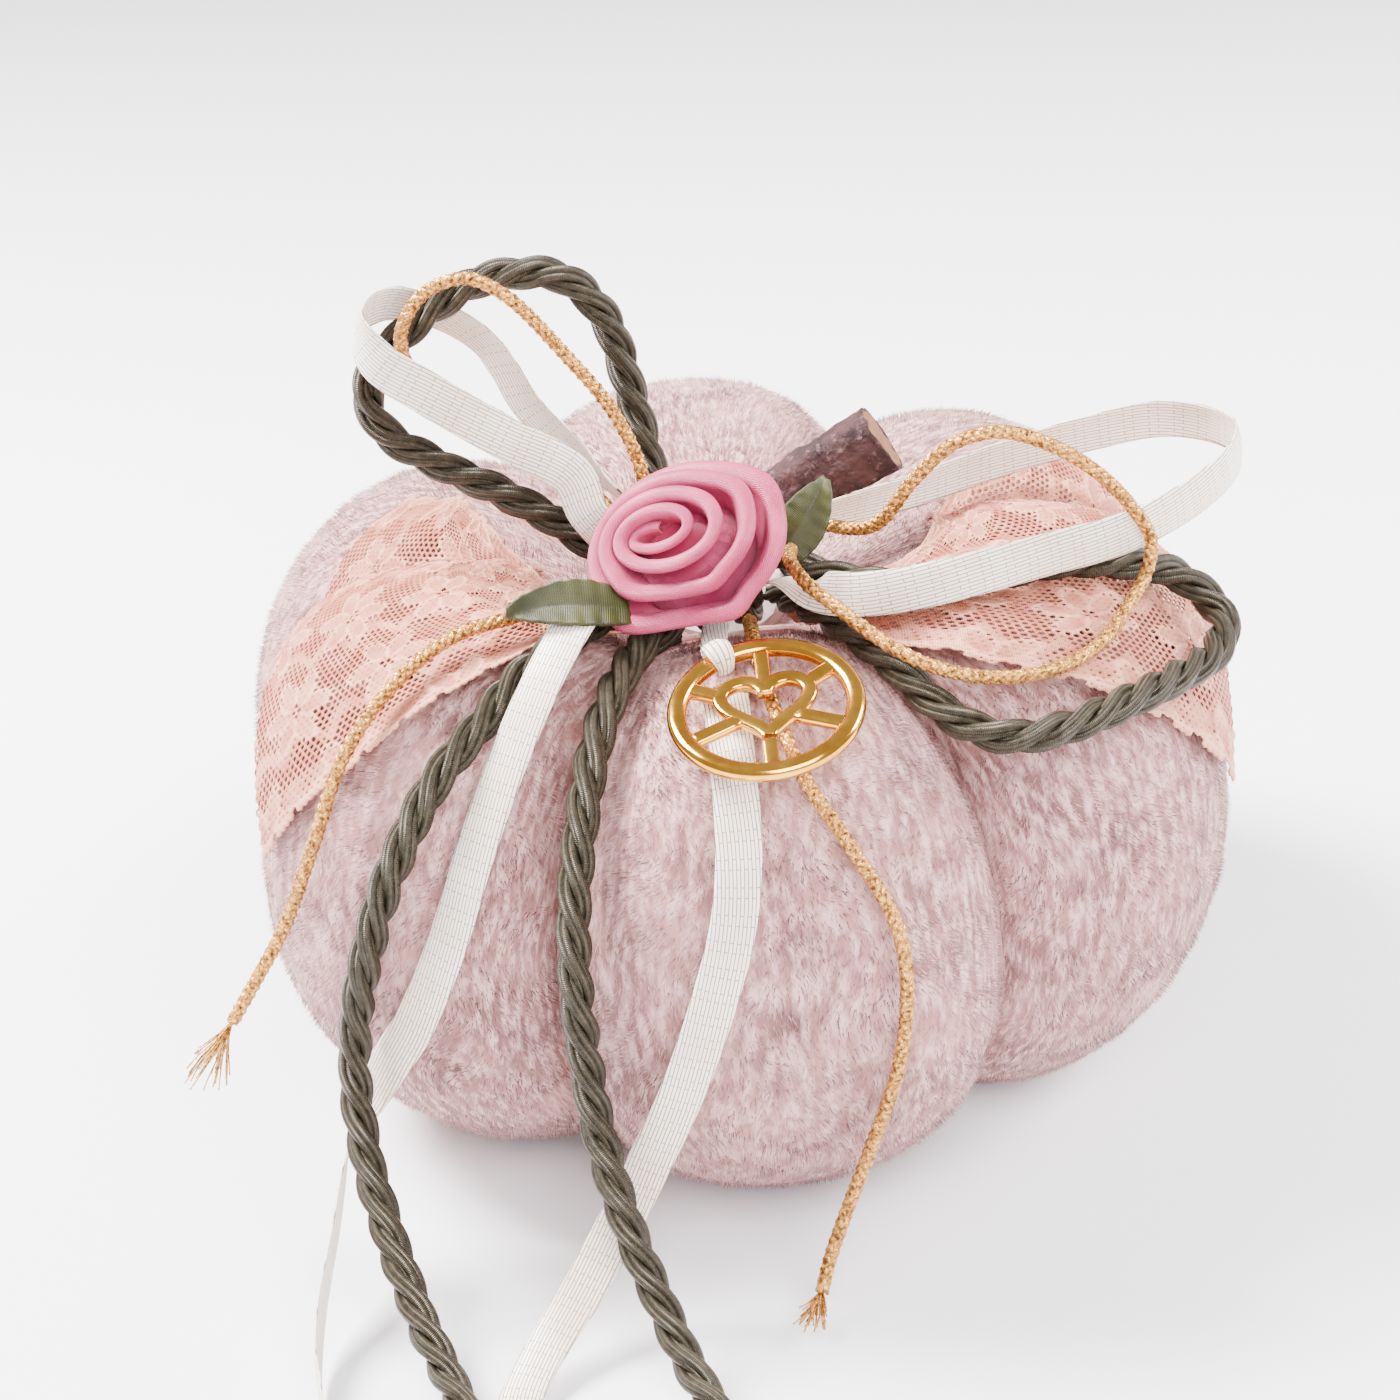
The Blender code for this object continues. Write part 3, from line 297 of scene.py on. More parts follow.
def make_weave():
    """Satin weave: long raised threads in offset rows, as a brick pattern on the UV map."""
    tree, given, put = new_group(
        "satin_weave", [("Vector", "Vector"), ("Length", "Float"), ("Width", "Float"), ("Turn", "Float")],
        [("Height", "Float")])
    turned = node(tree, "ShaderNodeVectorRotate", {"Vector": given["Vector"], "Angle": given["Turn"]},
                  rotation_type="Z_AXIS")
    brick = node(tree, "ShaderNodeTexBrick", {"Vector": turned.outputs["Vector"], "Scale": 1.0,
                                              "Mortar Size": 0.00009, "Mortar Smooth": 1.0,
                                              "Brick Width": given["Length"], "Row Height": given["Width"]})
    brick.offset = 0.37
    feed(tree, put["Height"], maths(tree, "SUBTRACT", 1.0, brick.outputs["Fac"]))
    return tree


MOTTLE, THREADS, WEAVE = make_mottle(), make_threads(), make_weave()


def new_finish(name, roughness, metallic=0.0, sockets=None):
    """A material whose constant values are set on the shader's own sockets."""
    made = bpy.data.materials.new(name)
    made.use_nodes = True
    tree = made.node_tree
    shader = tree.nodes["Principled BSDF"]
    shader.inputs["Roughness"].default_value = roughness
    shader.inputs["Metallic"].default_value = metallic
    for key, value in (sockets or {}).items():
        shader.inputs[key].default_value = value
    return made, tree, shader, tree.nodes.new("ShaderNodeTexCoord").outputs


def use(tree, group, inputs):
    """Place a shared group in a material and return its outputs."""
    return node(tree, "ShaderNodeGroup", inputs, node_tree=group).outputs


def relief(tree, shader, height, distance, strength):
    """A Bump node that feeds the shader's Normal."""
    bump = node(tree, "ShaderNodeBump", {"Height": height, "Distance": distance, "Strength": strength})
    feed(tree, shader.inputs["Normal"], bump.outputs["Normal"])


def colour(tree, shader, socket):
    """Feed the shader's Base Color."""
    feed(tree, shader.inputs["Base Color"], socket)


def rougher(tree, shader, mask, low, high):
    """Roughness runs from low to high as the mask runs from 0 to 1."""
    rough = node(tree, "ShaderNodeMapRange", {"Value": mask, "To Min": low, "To Max": high})
    feed(tree, shader.inputs["Roughness"], rough.outputs["Result"])


print("groups", [group.name for group in (MOTTLE, THREADS, WEAVE)])

# %% [markdown]
# ## The table and the light
# A pale table under large soft lights keeps the velvet's own colour. The floor is one big plane whose
# colour turns from white to a cool grey far behind. Three area lights are enough: a strong one behind
# on the left, a wide fill in front, and a small one on the right for the metal.

# %% The floor, the world and three lights
def floor_finish():
    """A pale colour that turns grey with distance behind the pillow."""
    made, tree, shader, places = new_finish("pale_table", 0.5)
    depth = node(tree, "ShaderNodeSeparateXYZ", {"Vector": places["Object"]}).outputs["Y"]
    fade = node(tree, "ShaderNodeMapRange", {"Value": depth, "From Min": 0.08, "From Max": 0.75},
                interpolation_type="SMOOTHSTEP").outputs["Result"]
    uneven = use(tree, MOTTLE, {"Vector": places["Object"], "Color": (0.90, 0.90, 0.92, 1),
                                "Other": (0.93, 0.93, 0.95, 1), "Scale": 3.0, "Detail": 2.0})
    colour(tree, shader, blended(tree, fade, uneven["Color"], (0.11, 0.11, 0.14, 1)))
    return made


def add_floor(size=3.0):
    """A square of four corners, size wide, a hair under the pillow."""
    corners = np.array([(-1, -1, 0), (1, -1, 0), (1, 1, 0), (-1, 1, 0)]) * size + (0, 0, -0.0001)
    grid = corners[[0, 1, 3, 2]].reshape(2, 2, 3)
    make_piece("table_top", [surface(grid)], floor_finish(), smooth=False)


def add_light(name, place, size, power, tint=(1.0, 1.0, 1.0)):
    """A square area light that looks at the pillow: its backward direction points away from it."""
    lamp = bpy.data.lights.new(name, "AREA")
    lamp.size, lamp.energy, lamp.color = size, power, tint
    made = bpy.data.objects.new(name, lamp)
    bpy.context.scene.collection.objects.link(made)
    backward = unit(np.array(place) - CAMERA_AIM)
    aside = unit(np.cross((0, 0, 1), backward))
    turned = Matrix(np.stack([aside, np.cross(backward, aside), backward], 1)).to_4x4()
    made.matrix_world = Matrix.Translation(place) @ turned


add_floor()
add_light("key_behind_left", (-0.5, 0.25, 0.7), 0.35, 52.0, (1.0, 0.98, 0.97))
add_light("fill_in_front", (0.25, -0.75, 0.75), 0.7, 26.0, (0.98, 0.98, 1.0))
add_light("rim_right", (0.6, 0.15, 0.4), 0.3, 12.0)
world = bpy.data.worlds.new("pale_room")
bpy.context.scene.world = world
world.use_nodes = True
sky = world.node_tree.nodes["Background"].inputs
sky["Color"].default_value = (0.93, 0.93, 1.0, 1)
sky["Strength"].default_value = 0.7
print("floor and three lights ready")

# %% [markdown]
# ## Sage rope
# Furnishing rope is three plies twisted together, and each ply is itself a few shiny yarns. A bevelled
# curve with a striped material looks flat, so every yarn is a real tube: its middle runs on a helix in
# its ply, and the ply runs on a helix round the rope's own line. The fine wrapping of each yarn is too
# small to model, so it is relief in the material, as rings along the yarn's UV.

# %% The rope's finish
SAGE, PALE_SAGE = (0.015, 0.011, 0.006, 1), (0.050, 0.038, 0.022, 1)
ROPE_SHADOW = (0.004, 0.004, 0.003, 1)
WRAP_PITCH = 0.24 * MM


def rope_finish():
    """Sage yarn: rings of fine wrapping, a sine of the distance along the yarn, shade it and raise it."""
    made, tree, shader, places = new_finish("sage_rope_yarn", 0.33, sockets={
        "Specular IOR Level": 0.34, "Specular Tint": (1.0, 0.90, 0.76, 1)})
    split = node(tree, "ShaderNodeSeparateXYZ", {"Vector": places["UV"]}).outputs
    ring = maths(tree, "SINE", maths(tree, "MULTIPLY_ADD", split["X"], 2 * math.pi / WRAP_PITCH,
                                     maths(tree, "MULTIPLY", split["Y"], 2 * math.pi)))
    uneven = use(tree, MOTTLE, {"Vector": places["Object"], "Color": SAGE, "Other": PALE_SAGE,
                                "Scale": 900.0, "Detail": 3.0})
    shade = maths(tree, "MULTIPLY_ADD", ring, 0.22, 0.25)
    colour(tree, shader, blended(tree, shade, uneven["Color"], ROPE_SHADOW))
    relief(tree, shader, ring, 0.05 * MM, 0.7)
    return made


ROPE_FINISH = rope_finish()
print("rope finish made")

# %% Rope as three plies of four yarns
ROPE_DIAMETER = 5.0 * MM
ROPE_LAY = 17.0 * MM


def helix_of(path, side, lift, radius, turns, start):
    """A line round a path: side times cos a plus lift times sin a, where a grows with length from its
    start to so many turns. Returns the line and its outward direction."""
    along = distance_along(path)
    angle = 2 * math.pi * (turns * along / along[-1] + start)
    out = side * np.cos(angle)[:, None] + lift * np.sin(angle)[:, None]
    return path + radius * out, out


def tube(middle, out, radius, sides, flatten=1.0):
    """A tube about a line: its ring lies square to the line, with one axis near the outward direction."""
    forward = unit(np.gradient(middle, axis=0))
    across = unit(np.cross(forward, out))
    turn = np.linspace(0, 2 * math.pi, sides, endpoint=False)
    outline = radius * np.stack([np.cos(turn), flatten * np.sin(turn)], 1)
    uv = uv_grid(distance_along(middle), np.linspace(0, 1, sides + 1))
    return swept(middle, np.cross(across, forward), across, outline, uv)


def twisted_rope(path, diameter, lay, sides=8, plies=3, yarns=4):
    """Each ply's line winds one way round the path, and each yarn's line winds a little faster and
    the other way round its ply."""
    _, side, lift = carry_frame(path)
    turns = distance_along(path)[-1] / lay
    parts = []
    for ply in range(plies):
        middle, out = helix_of(path, side, lift, 0.245 * diameter, -turns, ply / plies)
        forward = unit(np.gradient(middle, axis=0))
        across = unit(np.cross(forward, out))
        for yarn in range(yarns):
            line, away = helix_of(middle, np.cross(across, forward), across, 0.128 * diameter,
                                  0.9 * turns, yarn / yarns)
            parts.append(tube(line, away, 0.129 * diameter, sides))
    return parts


print("one turn of the rope every", ROPE_LAY, "m")

# %% The rope's loops and tails
ROPE_LOOP_LEFT = MM * np.array([
    (-11.5, -15, 78.5), (-18.5, -9.5, 83.5), (-29.3, -5.5, 89.6), (-38.6, -3.5, 94.4), (-45.2, -2.5, 99),
    (-47, -2, 105.5), (-42.3, -1.2, 112), (-33.4, -0.6, 118.6), (-27, 0, 120.3), (-18.6, 0, 119.2),
    (-13.3, 0, 112.7), (-10.6, -2, 102.3), (-8.6, -6, 92), (-7.6, -9.5, 86)])
ROPE_LOOP_RIGHT = MM * np.array([
    (7.8, -21.8, 79.7), (11.8, -29.4, 81.5), (16.6, -36.4, 81.2), (21.2, -41.6, 79.2), (25.3, -46.2, 76.6),
    (29.8, -50.2, 74.2), (35.8, -52.6, 72.6), (43.4, -51, 72.2), (52.3, -45.3, 72.2), (60.8, -37.3, 71),
    (67, -29, 69.8), (69, -21.3, 71.2), (63.4, -18, 76), (54.6, -20.8, 80.2), (45.2, -24.4, 82.9),
    (34.5, -28.9, 83.8), (23.5, -29, 83.5), (14, -23.5, 83), (8.6, -17, 82.6)])
ROPE_TAIL_LEFT = MM * np.array([
    (-12, -21.5, 79.4), (-16.8, -28.9, 81.6), (-22, -35.9, 81.8), (-28.2, -41.3, 79.7), (-33.9, -47.2, 76),
    (-39.6, -51.4, 71), (-44, -54.5, 64.6), (-47.6, -56.4, 57.7), (-51, -57.8, 47.6), (-53.4, -57.6, 37.5),
    (-54.2, -60, 28.5), (-53.2, -65.5, 21), (-50.7, -73.5, 14), (-47, -83.5, 8.2), (-42.6, -94, 4.3),
    (-39.5, -104, 3), (-37, -113, 2.8)])
ROPE_TAIL_RIGHT = MM * np.array([
    (-6.8, -28, 78.9), (-10.8, -33.9, 80.1), (-13.8, -40.5, 79.6), (-16.3, -46.8, 77.8), (-18.9, -53.4, 73),
    (-21, -60.2, 66.3), (-22.3, -65.2, 58), (-22.8, -68.9, 48.6), (-22.4, -70.5, 38.5), (-21.3, -73.5, 29),
    (-18.6, -81.5, 19.8), (-14.8, -88, 11.3), (-11, -95.5, 5.2), (-7.5, -104, 3.1), (-5, -113, 2.8)])
ROPE_ENDS = {"left": MM * np.array([-35.8, -115.6, 4.9]), "right": MM * np.array([-4.7, -115.6, 4.9])}


def end_knot(side, tail):
    """The knot at the rope's end: a trefoil, (sin t + 2 sin 2t, cos t - 2 cos 2t, -1.5 sin 3t), drawn tight
    and turned so that its middle lies along the rope."""
    turn = np.linspace(0, 2 * math.pi, 91)
    flat = np.stack([np.sin(turn) + 2 * np.sin(2 * turn), np.cos(turn) - 2 * np.cos(2 * turn),
                     -1.5 * np.sin(3 * turn)], 1) * MM
    forward = unit(ROPE_ENDS[side] - tail[-1])
    aside = unit(np.cross(forward, (0, 0, 1)))
    turned = flat @ np.stack([aside, np.cross(aside, forward), forward])
    parts = twisted_rope(turned + ROPE_ENDS[side], 3.4 * MM, 9.0 * MM, sides=6, yarns=3)
    made = make_piece(f"rope_end_knot_{side}", parts, ROPE_FINISH)
    return settle(made, "pillow", "sage_rope", f"rope_end_{side}")


def add_rope(name, route, node_name, with_pieces=()):
    """A rope along a route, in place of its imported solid."""
    path = smooth_path(route, 0.7 * MM)
    made = make_piece(name, twisted_rope(path, ROPE_DIAMETER, ROPE_LAY), ROPE_FINISH)
    settle(made, "pillow", "sage_rope", node_name)


add_rope("twisted_loop_left", ROPE_LOOP_LEFT, "rope_loop_left")
add_rope("twisted_loop_right", ROPE_LOOP_RIGHT, "rope_loop_right")
for side, tail in (("left", ROPE_TAIL_LEFT), ("right", ROPE_TAIL_RIGHT)):
    add_rope(f"twisted_tail_{side}", np.vstack([tail, ROPE_ENDS[side]]), f"rope_tail_{side}",
             [end_knot(side, tail)])

# %% [markdown]
# ## Gold cord
# The thin cord is a round braid of metallic thread. Eight strands are enough: four turn one way and four
# the other, and where two meet, one passes over. The braid's small height steps catch the light as bright
# flecks, so it is made in geometry, and only the grain of each strand is left to the material.


def gold_finish():
    """Metallic thread: bright and dark flecks, the bright ones glossier, with strands in relief."""
    made, tree, shader, places = new_finish("gold_lurex_braid", 0.3, metallic=0.85)
    uneven = use(tree, MOTTLE, {"Vector": places["Object"], "Color": (0.12, 0.04, 0.005, 1),
                                "Other": (0.92, 0.46, 0.11, 1), "Scale": 1500.0, "Detail": 2.0})
    threads = use(tree, THREADS, {"Vector": places["UV"], "Count": 5.0, "Lean": 500.0})
    colour(tree, shader, uneven["Color"])
    rougher(tree, shader, uneven["Mask"], 0.5, 0.22)
    relief(tree, shader, threads["Height"], 0.05 * MM, 0.8)
    return made


GOLD_BRAID = gold_finish()


def braided_cord(path, lay=5.6 * MM, sides=6, carriers=4):
    """Strand middles lie at angle plus or minus w times length, at a radius of m + d cos(4 w length) for
    one way and m - d cos(4 w length) for the other, which makes each pass over one and under the next."""
    _, side, lift = carry_frame(path)
    along = distance_along(path)
    turns = along[-1] / lay
    parts = []
    for way in (1, -1):
        radius = (0.66 + way * 0.12 * np.cos(8 * math.pi * along / lay)) * MM
        for carrier in range(carriers):
            line, out = helix_of(path, side, lift, radius[:, None], way * turns, carrier / carriers)
            parts.append(tube(line, out, 0.27 * MM, sides, 1.6))
    return parts


def frayed_end(name, node_name, route, tip, spread, count=46):
    """Loose strands that leave the cord's end in a fan, as thin four-sided tubes. Each is start + forward
    times its reach times t + its own outward drift times t to the 1.7, with a small curl, kept off the
    table."""
    rng = np.random.default_rng(7 + len(name))
    forward = unit(tip - route[-1])
    length = np.linalg.norm(tip - route[-1])
    aside = unit(np.cross(forward, (0.3, 0, 1)))
    above = np.cross(aside, forward)
    parts = []
    for _ in range(count):
        turn, away = rng.uniform(0, 2 * math.pi), rng.uniform(0.1, 1) ** 0.7 * spread
        reach = length * rng.uniform(0.55, 1.12)
        t = np.linspace(0, 1, 9)[:, None]
        drift = (aside * math.cos(turn) + above * math.sin(turn)) * away
        curl = aside * math.sin(turn * 3) + above * math.cos(turn * 2)
        path = route[-1] - forward * 0.8 * MM + forward * reach * t + drift * t ** 1.7
        path = path + curl * 0.35 * MM * np.sin(5 * t + turn) * t
        path[:, 2] = np.maximum(path[:, 2], 0.25 * MM)
        parts.append(tube(path, carry_frame(path)[1], 0.11 * MM, 4))
    made = make_piece(name, parts, GOLD_BRAID)
    return settle(made, "pillow", "gold_lurex", node_name)


GOLD_LOOP_LEFT = MM * np.array([
    (-9.6, -14, 86), (-9.8, -12.5, 95), (-13, -10, 103), (-19, -8, 111.3), (-26.7, -6, 120),
    (-31.8, -5.5, 122.6), (-37.5, -5.8, 121), (-41.2, -6, 115.5), (-40.6, -4.9, 109.5), (-36.5, -1.2, 104),
    (-28.5, -0.5, 98.5), (-20, -5, 92), (-14.5, -9.5, 87.8), (-12.2, -12, 85)])
GOLD_LOOP_RIGHT = MM * np.array([
    (9.8, -24, 87.5), (9.4, -30.5, 89), (11.5, -36.8, 88.6), (15, -40.8, 87.2), (20, -43.8, 83.8),
    (25.5, -46.4, 81.2), (31.5, -47.2, 79.2), (38, -45.9, 77.7), (45, -42.5, 77), (50.8, -37, 77.4),
    (54.8, -30.8, 78.9), (57.8, -26.5, 81.2), (58.8, -24.8, 85.3), (56, -25, 91), (51.5, -26.5, 97),
    (45, -28, 102.5), (38, -29, 105.5), (32, -29.5, 104.5), (26.5, -28.5, 99), (21.5, -26, 91.5),
    (16.5, -21, 88.8), (12.5, -15.5, 88.2)])
GOLD_TAIL_LEFT = MM * np.array([
    (-12.6, -19.5, 82.8), (-18.8, -25, 84.2), (-27.9, -31, 83.9), (-35.8, -33.6, 83.2), (-44.3, -38.9, 79.6),
    (-51.8, -44.2, 72), (-57.2, -48.4, 60.3), (-62.4, -48.3, 48), (-67.5, -49, 39.5), (-71, -49.5, 34)])
GOLD_TAIL_RIGHT = MM * np.array([
    (3.5, -26, 78), (3.6, -33, 80.3), (3.9, -41, 81.4), (4.8, -49, 80.9), (6.4, -56.8, 78.5), (9, -63.2, 74.2),
    (14.2, -68, 66.6), (19.2, -71, 57), (20.3, -73.2, 48.5), (18.7, -74.4, 36.5), (14.5, -74.5, 23.5),
    (10.8, -75.5, 14), (8.2, -77.2, 7.6), (6.8, -79.5, 4)])


def add_gold(name, route, node_name):
    """A gold cord along a route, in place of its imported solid."""
    path = smooth_path(route, 0.35 * MM)
    made = settle(make_piece(name, braided_cord(path), GOLD_BRAID), "pillow", "gold_lurex", node_name)


FRAY_LEFT = frayed_end("frayed_strands_left", "gold_fray_left", GOLD_TAIL_LEFT,
                       MM * np.array([-76.5, -51, 25.5]), 3.6 * MM)
FRAY_RIGHT = frayed_end("frayed_strands_right", "gold_fray_right", GOLD_TAIL_RIGHT,
                        MM * np.array([4.6, -84.5, 1.6]), 2.6 * MM)
add_gold("braid_loop_left", GOLD_LOOP_LEFT, "gold_loop_left")
add_gold("braid_loop_right", GOLD_LOOP_RIGHT, "gold_loop_right")
add_gold("braid_tail_left", GOLD_TAIL_LEFT, "gold_tail_left")
add_gold("braid_tail_right", GOLD_TAIL_RIGHT, "gold_tail_right")

# %% [markdown]
# ## Satin ribbon
# The ribbon is a thin woven band: flat, a little cupped across, with a woven edge on each side. It is a
# rounded strip carried along its route while its face turns towards chosen directions, so that it twists
# as real ribbon does. The satin weave's long threads are a relief on the UV map.

# %% The satin's finish
RIBBON_WIDTH = 6.0 * MM
RIBBON_THICKNESS = 0.36 * MM


def satin_finish():
    """Ivory satin: its long warp threads stand up, and painted shade darkens the gaps between them."""
    made, tree, shader, places = new_finish("ivory_satin_weave", 0.38, sockets={
        "Sheen Weight": 0.25, "Sheen Roughness": 0.3, "Coat Weight": 0.12, "Coat Roughness": 0.35})
    weave = use(tree, WEAVE, {"Vector": places["UV"], "Length": 3.6 * MM, "Width": 0.5 * MM, "Turn": 0.07})
    uneven = use(tree, MOTTLE, {"Vector": places["Object"], "Color": (0.88, 0.72, 0.57, 1),
                                "Other": (0.97, 0.88, 0.78, 1), "Scale": 90.0, "Detail": 2.0})
    # painted shade: the gaps between the raised threads are blended towards a dark brown
    groove = maths(tree, "SUBTRACT", 1.0, weave["Height"])
    colour(tree, shader, blended(tree, groove, uneven["Color"], (0.16, 0.095, 0.06, 1)))
    relief(tree, shader, weave["Height"], 0.12 * MM, 0.9)
    return made


SATIN_FINISH = satin_finish()


def ribbon(route, faces, width, thickness, spacing=0.9 * MM, cup=0.3 * MM):
    """Across the ribbon, the outline is a thin slab with rounded edges, bent by cup times (1 - x squared).
    Its face looks along the given directions, blended with length and squared to the path."""
    path = smooth_path(route, spacing)
    along = distance_along(path)
    marks = distance_along(route)
    marks = marks / marks[-1]
    faces = unit(faces)
    steady = np.stack([np.interp(along / along[-1], marks, faces[:, axis]) for axis in range(3)], 1)
    kernel = np.hanning(13) / np.hanning(13).sum()
    padded = np.pad(steady, ((6, 6), (0, 0)), mode="edge")
    steady = np.stack([np.convolve(padded[:, axis], kernel, mode="valid") for axis in range(3)], 1)
    tangent = unit(np.gradient(path, axis=0))
    side = unit(np.cross(tangent, steady))
    lift = np.cross(side, tangent)
    x = np.linspace(-1, 1, 13)
    half = thickness / 2 * np.minimum(1, 3.2 * (1 - np.abs(x)) + 0.35)
    edge = thickness * 0.22 * np.exp(-((np.abs(x) - 0.93) / 0.05) ** 2)
    bend = cup * (1 - x ** 2)
    top = np.stack([x * width / 2, bend + half + edge], 1)
    under = np.stack([x * width / 2, bend - half - edge], 1)[::-1]
    outline = np.vstack([top, under])
    across = np.concatenate([x, x[::-1], x[:1]]) * width / 2
    return path, swept(path, side, lift, outline, uv_grid(along, across))


SATIN_LOOP_LEFT = MM * np.array([
    (-13, -16, 84.5), (-17.5, -14.5, 90), (-19.5, -12, 95), (-28.4, -9.5, 100.2), (-38.3, -8.5, 107.2),
    (-44.8, -7.5, 112.3), (-47, -4, 116.2), (-43.3, 0.5, 117), (-35.3, 5.5, 111.8), (-30.4, 6.5, 107),
    (-28.2, 6.5, 103), (-25.3, 6, 97), (-18.5, 2.5, 90.5), (-13, -3.5, 86.8)])
SATIN_LOOP_LEFT_FACES = [
    (-0.6, -0.8, 0.3), (-0.4, -0.9, 0.3), (0.1, -0.9, 0.4), (0.3, -0.85, 0.35), (0.25, -0.9, 0.3),
    (-0.3, -0.9, 0.3), (-1, -0.1, 0.2), (-0.4, 0.9, 0.3), (0.3, 0.9, 0.3), (0.6, 0.8, 0.1), (0.6, 0.8, 0),
    (0.5, 0.8, 0.1), (0.4, 0.8, 0.3), (0.3, 0.6, 0.6)]
SATIN_LOOP_RIGHT = MM * np.array([
    (8.4, -27, 84.4), (12.8, -33, 85.6), (18.6, -36.6, 86.6), (26.2, -37, 87.4), (34.8, -34.3, 87.5),
    (44, -29.8, 87), (55, -24.4, 86.5), (65, -16.4, 86.7), (72.2, -8, 87.6), (74.2, -0.5, 87.8),
    (70.5, 5.5, 87.6), (64, 8.5, 87.2), (56, 8.5, 86), (47.5, 7.5, 84.6), (38.5, 5, 83.4), (30, 0.5, 83),
    (21, -5.5, 83.8), (14, -10, 84.4)])
SATIN_LOOP_RIGHT_FACES = [
    (0.6, -0.7, 0.5), (0.5, -0.75, 0.45), (0.3, -0.9, 0.35), (0.2, -0.9, 0.35), (0.3, -0.9, 0.3),
    (0.4, -0.88, 0.2), (0.5, -0.85, 0.15), (0.65, -0.75, 0.1), (0.85, -0.5, 0.1), (1, 0, 0.1), (0.8, 0.6, 0.1),
    (0.3, 0.95, 0.1), (-0.1, 1, 0.1), (-0.2, 1, 0.1), (-0.35, 0.95, 0.1), (-0.5, 0.85, 0.15), (-0.6, 0.8, 0.2),
    (-0.6, 0.7, 0.3)]
SATIN_TAIL_LEFT = MM * np.array([
    (-16.2, -28.8, 85.4), (-18.3, -34, 86.1), (-20.6, -39.8, 86), (-24.7, -46, 81.9), (-29.6, -51.3, 74),
    (-34.8, -56.2, 63.2), (-39.8, -59.8, 50.8), (-45.4, -60, 38.4), (-49.3, -57.2, 31), (-53, -56, 24),
    (-56.3, -60, 17.8), (-58.3, -69.5, 12), (-60.2, -78.5, 6.8), (-60.6, -86.5, 4.2), (-59.8, -94, 3.6),
    (-58.5, -103, 3.5)])
SATIN_TAIL_LEFT_FACES = [
    (0, -0.3, 0.95), (-0.1, -0.4, 0.9), (-0.3, -0.6, 0.8), (-0.45, -0.7, 0.6), (-0.45, -0.7, 0.5),
    (-0.5, -0.75, 0.4), (-0.55, -0.8, 0.2), (-0.6, -0.8, 0), (-0.68, -0.72, -0.1), (-0.8, -0.6, -0.15),
    (-0.95, -0.3, -0.1), (-1, 0, 0), (-1, 0.1, 0), (-1, 0.15, 0), (-1, 0.15, 0.05), (-1, 0.15, 0.1)]
SATIN_TAIL_RIGHT = MM * np.array([
    (-0.6, -50.2, 80.4), (-0.5, -55.5, 78.6), (-0.3, -62.2, 74.8), (-0.4, -68.8, 67.7), (-1.7, -73, 59.6),
    (-5, -75, 48.8), (-10.2, -74.4, 34), (-14.8, -74.2, 24), (-19.5, -76.2, 15.5), (-25, -81.2, 8.6),
    (-30.5, -87.8, 3.9), (-34, -95, 1.5), (-34, -102, 0.9), (-32, -109, 0.8)])
SATIN_TAIL_RIGHT_FACES = [
    (0, -0.3, 0.95), (0, -0.4, 0.9), (0, -0.7, 0.7), (0, -0.85, 0.5), (-0.05, -0.97, 0.2), (-0.1, -1, 0.05),
    (-0.1, -1, -0.1), (-0.1, -0.97, 0.1), (-0.2, -0.85, 0.4), (-0.25, -0.7, 0.65), (-0.2, -0.45, 0.85),
    (-0.1, -0.2, 1), (0, 0, 1), (0, 0, 1)]
SATIN_NECK = MM * np.array([(-1, -27, 78.4), (-1.4, -32, 80), (-1.6, -37.5, 81.2), (-1.6, -42.4, 82)])
SATIN_NECK_FACES = [(0, 0, 1), (0, -0.1, 1), (0.1, -0.1, 1), (0.1, -0.2, 1)]


def add_ribbon(name, route, faces, node_name, width=RIBBON_WIDTH):
    """A ribbon along a route. The neck ends in nothing free."""
    path, part = ribbon(route, faces, width, RIBBON_THICKNESS)
    made = settle(make_piece(name, [part], SATIN_FINISH), "pillow", "ivory_satin", node_name)


add_ribbon("ribbon_loop_left", SATIN_LOOP_LEFT, SATIN_LOOP_LEFT_FACES, "satin_loop_left")
add_ribbon("ribbon_loop_right", SATIN_LOOP_RIGHT, SATIN_LOOP_RIGHT_FACES, "satin_loop_right")
add_ribbon("ribbon_tail_left", SATIN_TAIL_LEFT, SATIN_TAIL_LEFT_FACES, "satin_tail_left")
add_ribbon("ribbon_tail_right", SATIN_TAIL_RIGHT, SATIN_TAIL_RIGHT_FACES, "satin_tail_right")
add_ribbon("ribbon_neck", SATIN_NECK, SATIN_NECK_FACES, "satin_neck", 3.6 * MM)

# %% [markdown]
# ## The velvet body
# A fabric pumpkin is a tube of velvet gathered at both ends, stuffed hard and pulled into six lobes by
# thread. Its skin is one formula in angle and height: full lobes, sharp grooves, a dimple above and one
# below. Cloth with air pressure then swells it, so that it looks filled rather than lathed. The grooves,
# the necks and the foot are pinned, and no point may move far, because the lace and bow lie on it.

# %% The body's own formula
LOBES, FRONT_LOBE_TURN = 6, 5.0
BODY_TOP, BODY_RADIUS, BODY_MIDDLE = 80 * MM, 74 * MM, 39 * MM
CROWN_RADIUS, FOOT_RADIUS, NECK_RADIUS = 40 * MM, 34 * MM, 5 * MM
TOP_DIMPLE, BOTTOM_DIMPLE, BOTTOM_SAG = 19 * MM, 24 * MM, 2 * MM
GROOVE_IN, GROOVE_DROP, GROOVE_RISE, GROOVE_CROWN = 16 * MM, 11 * MM, 5 * MM, 24 * MM


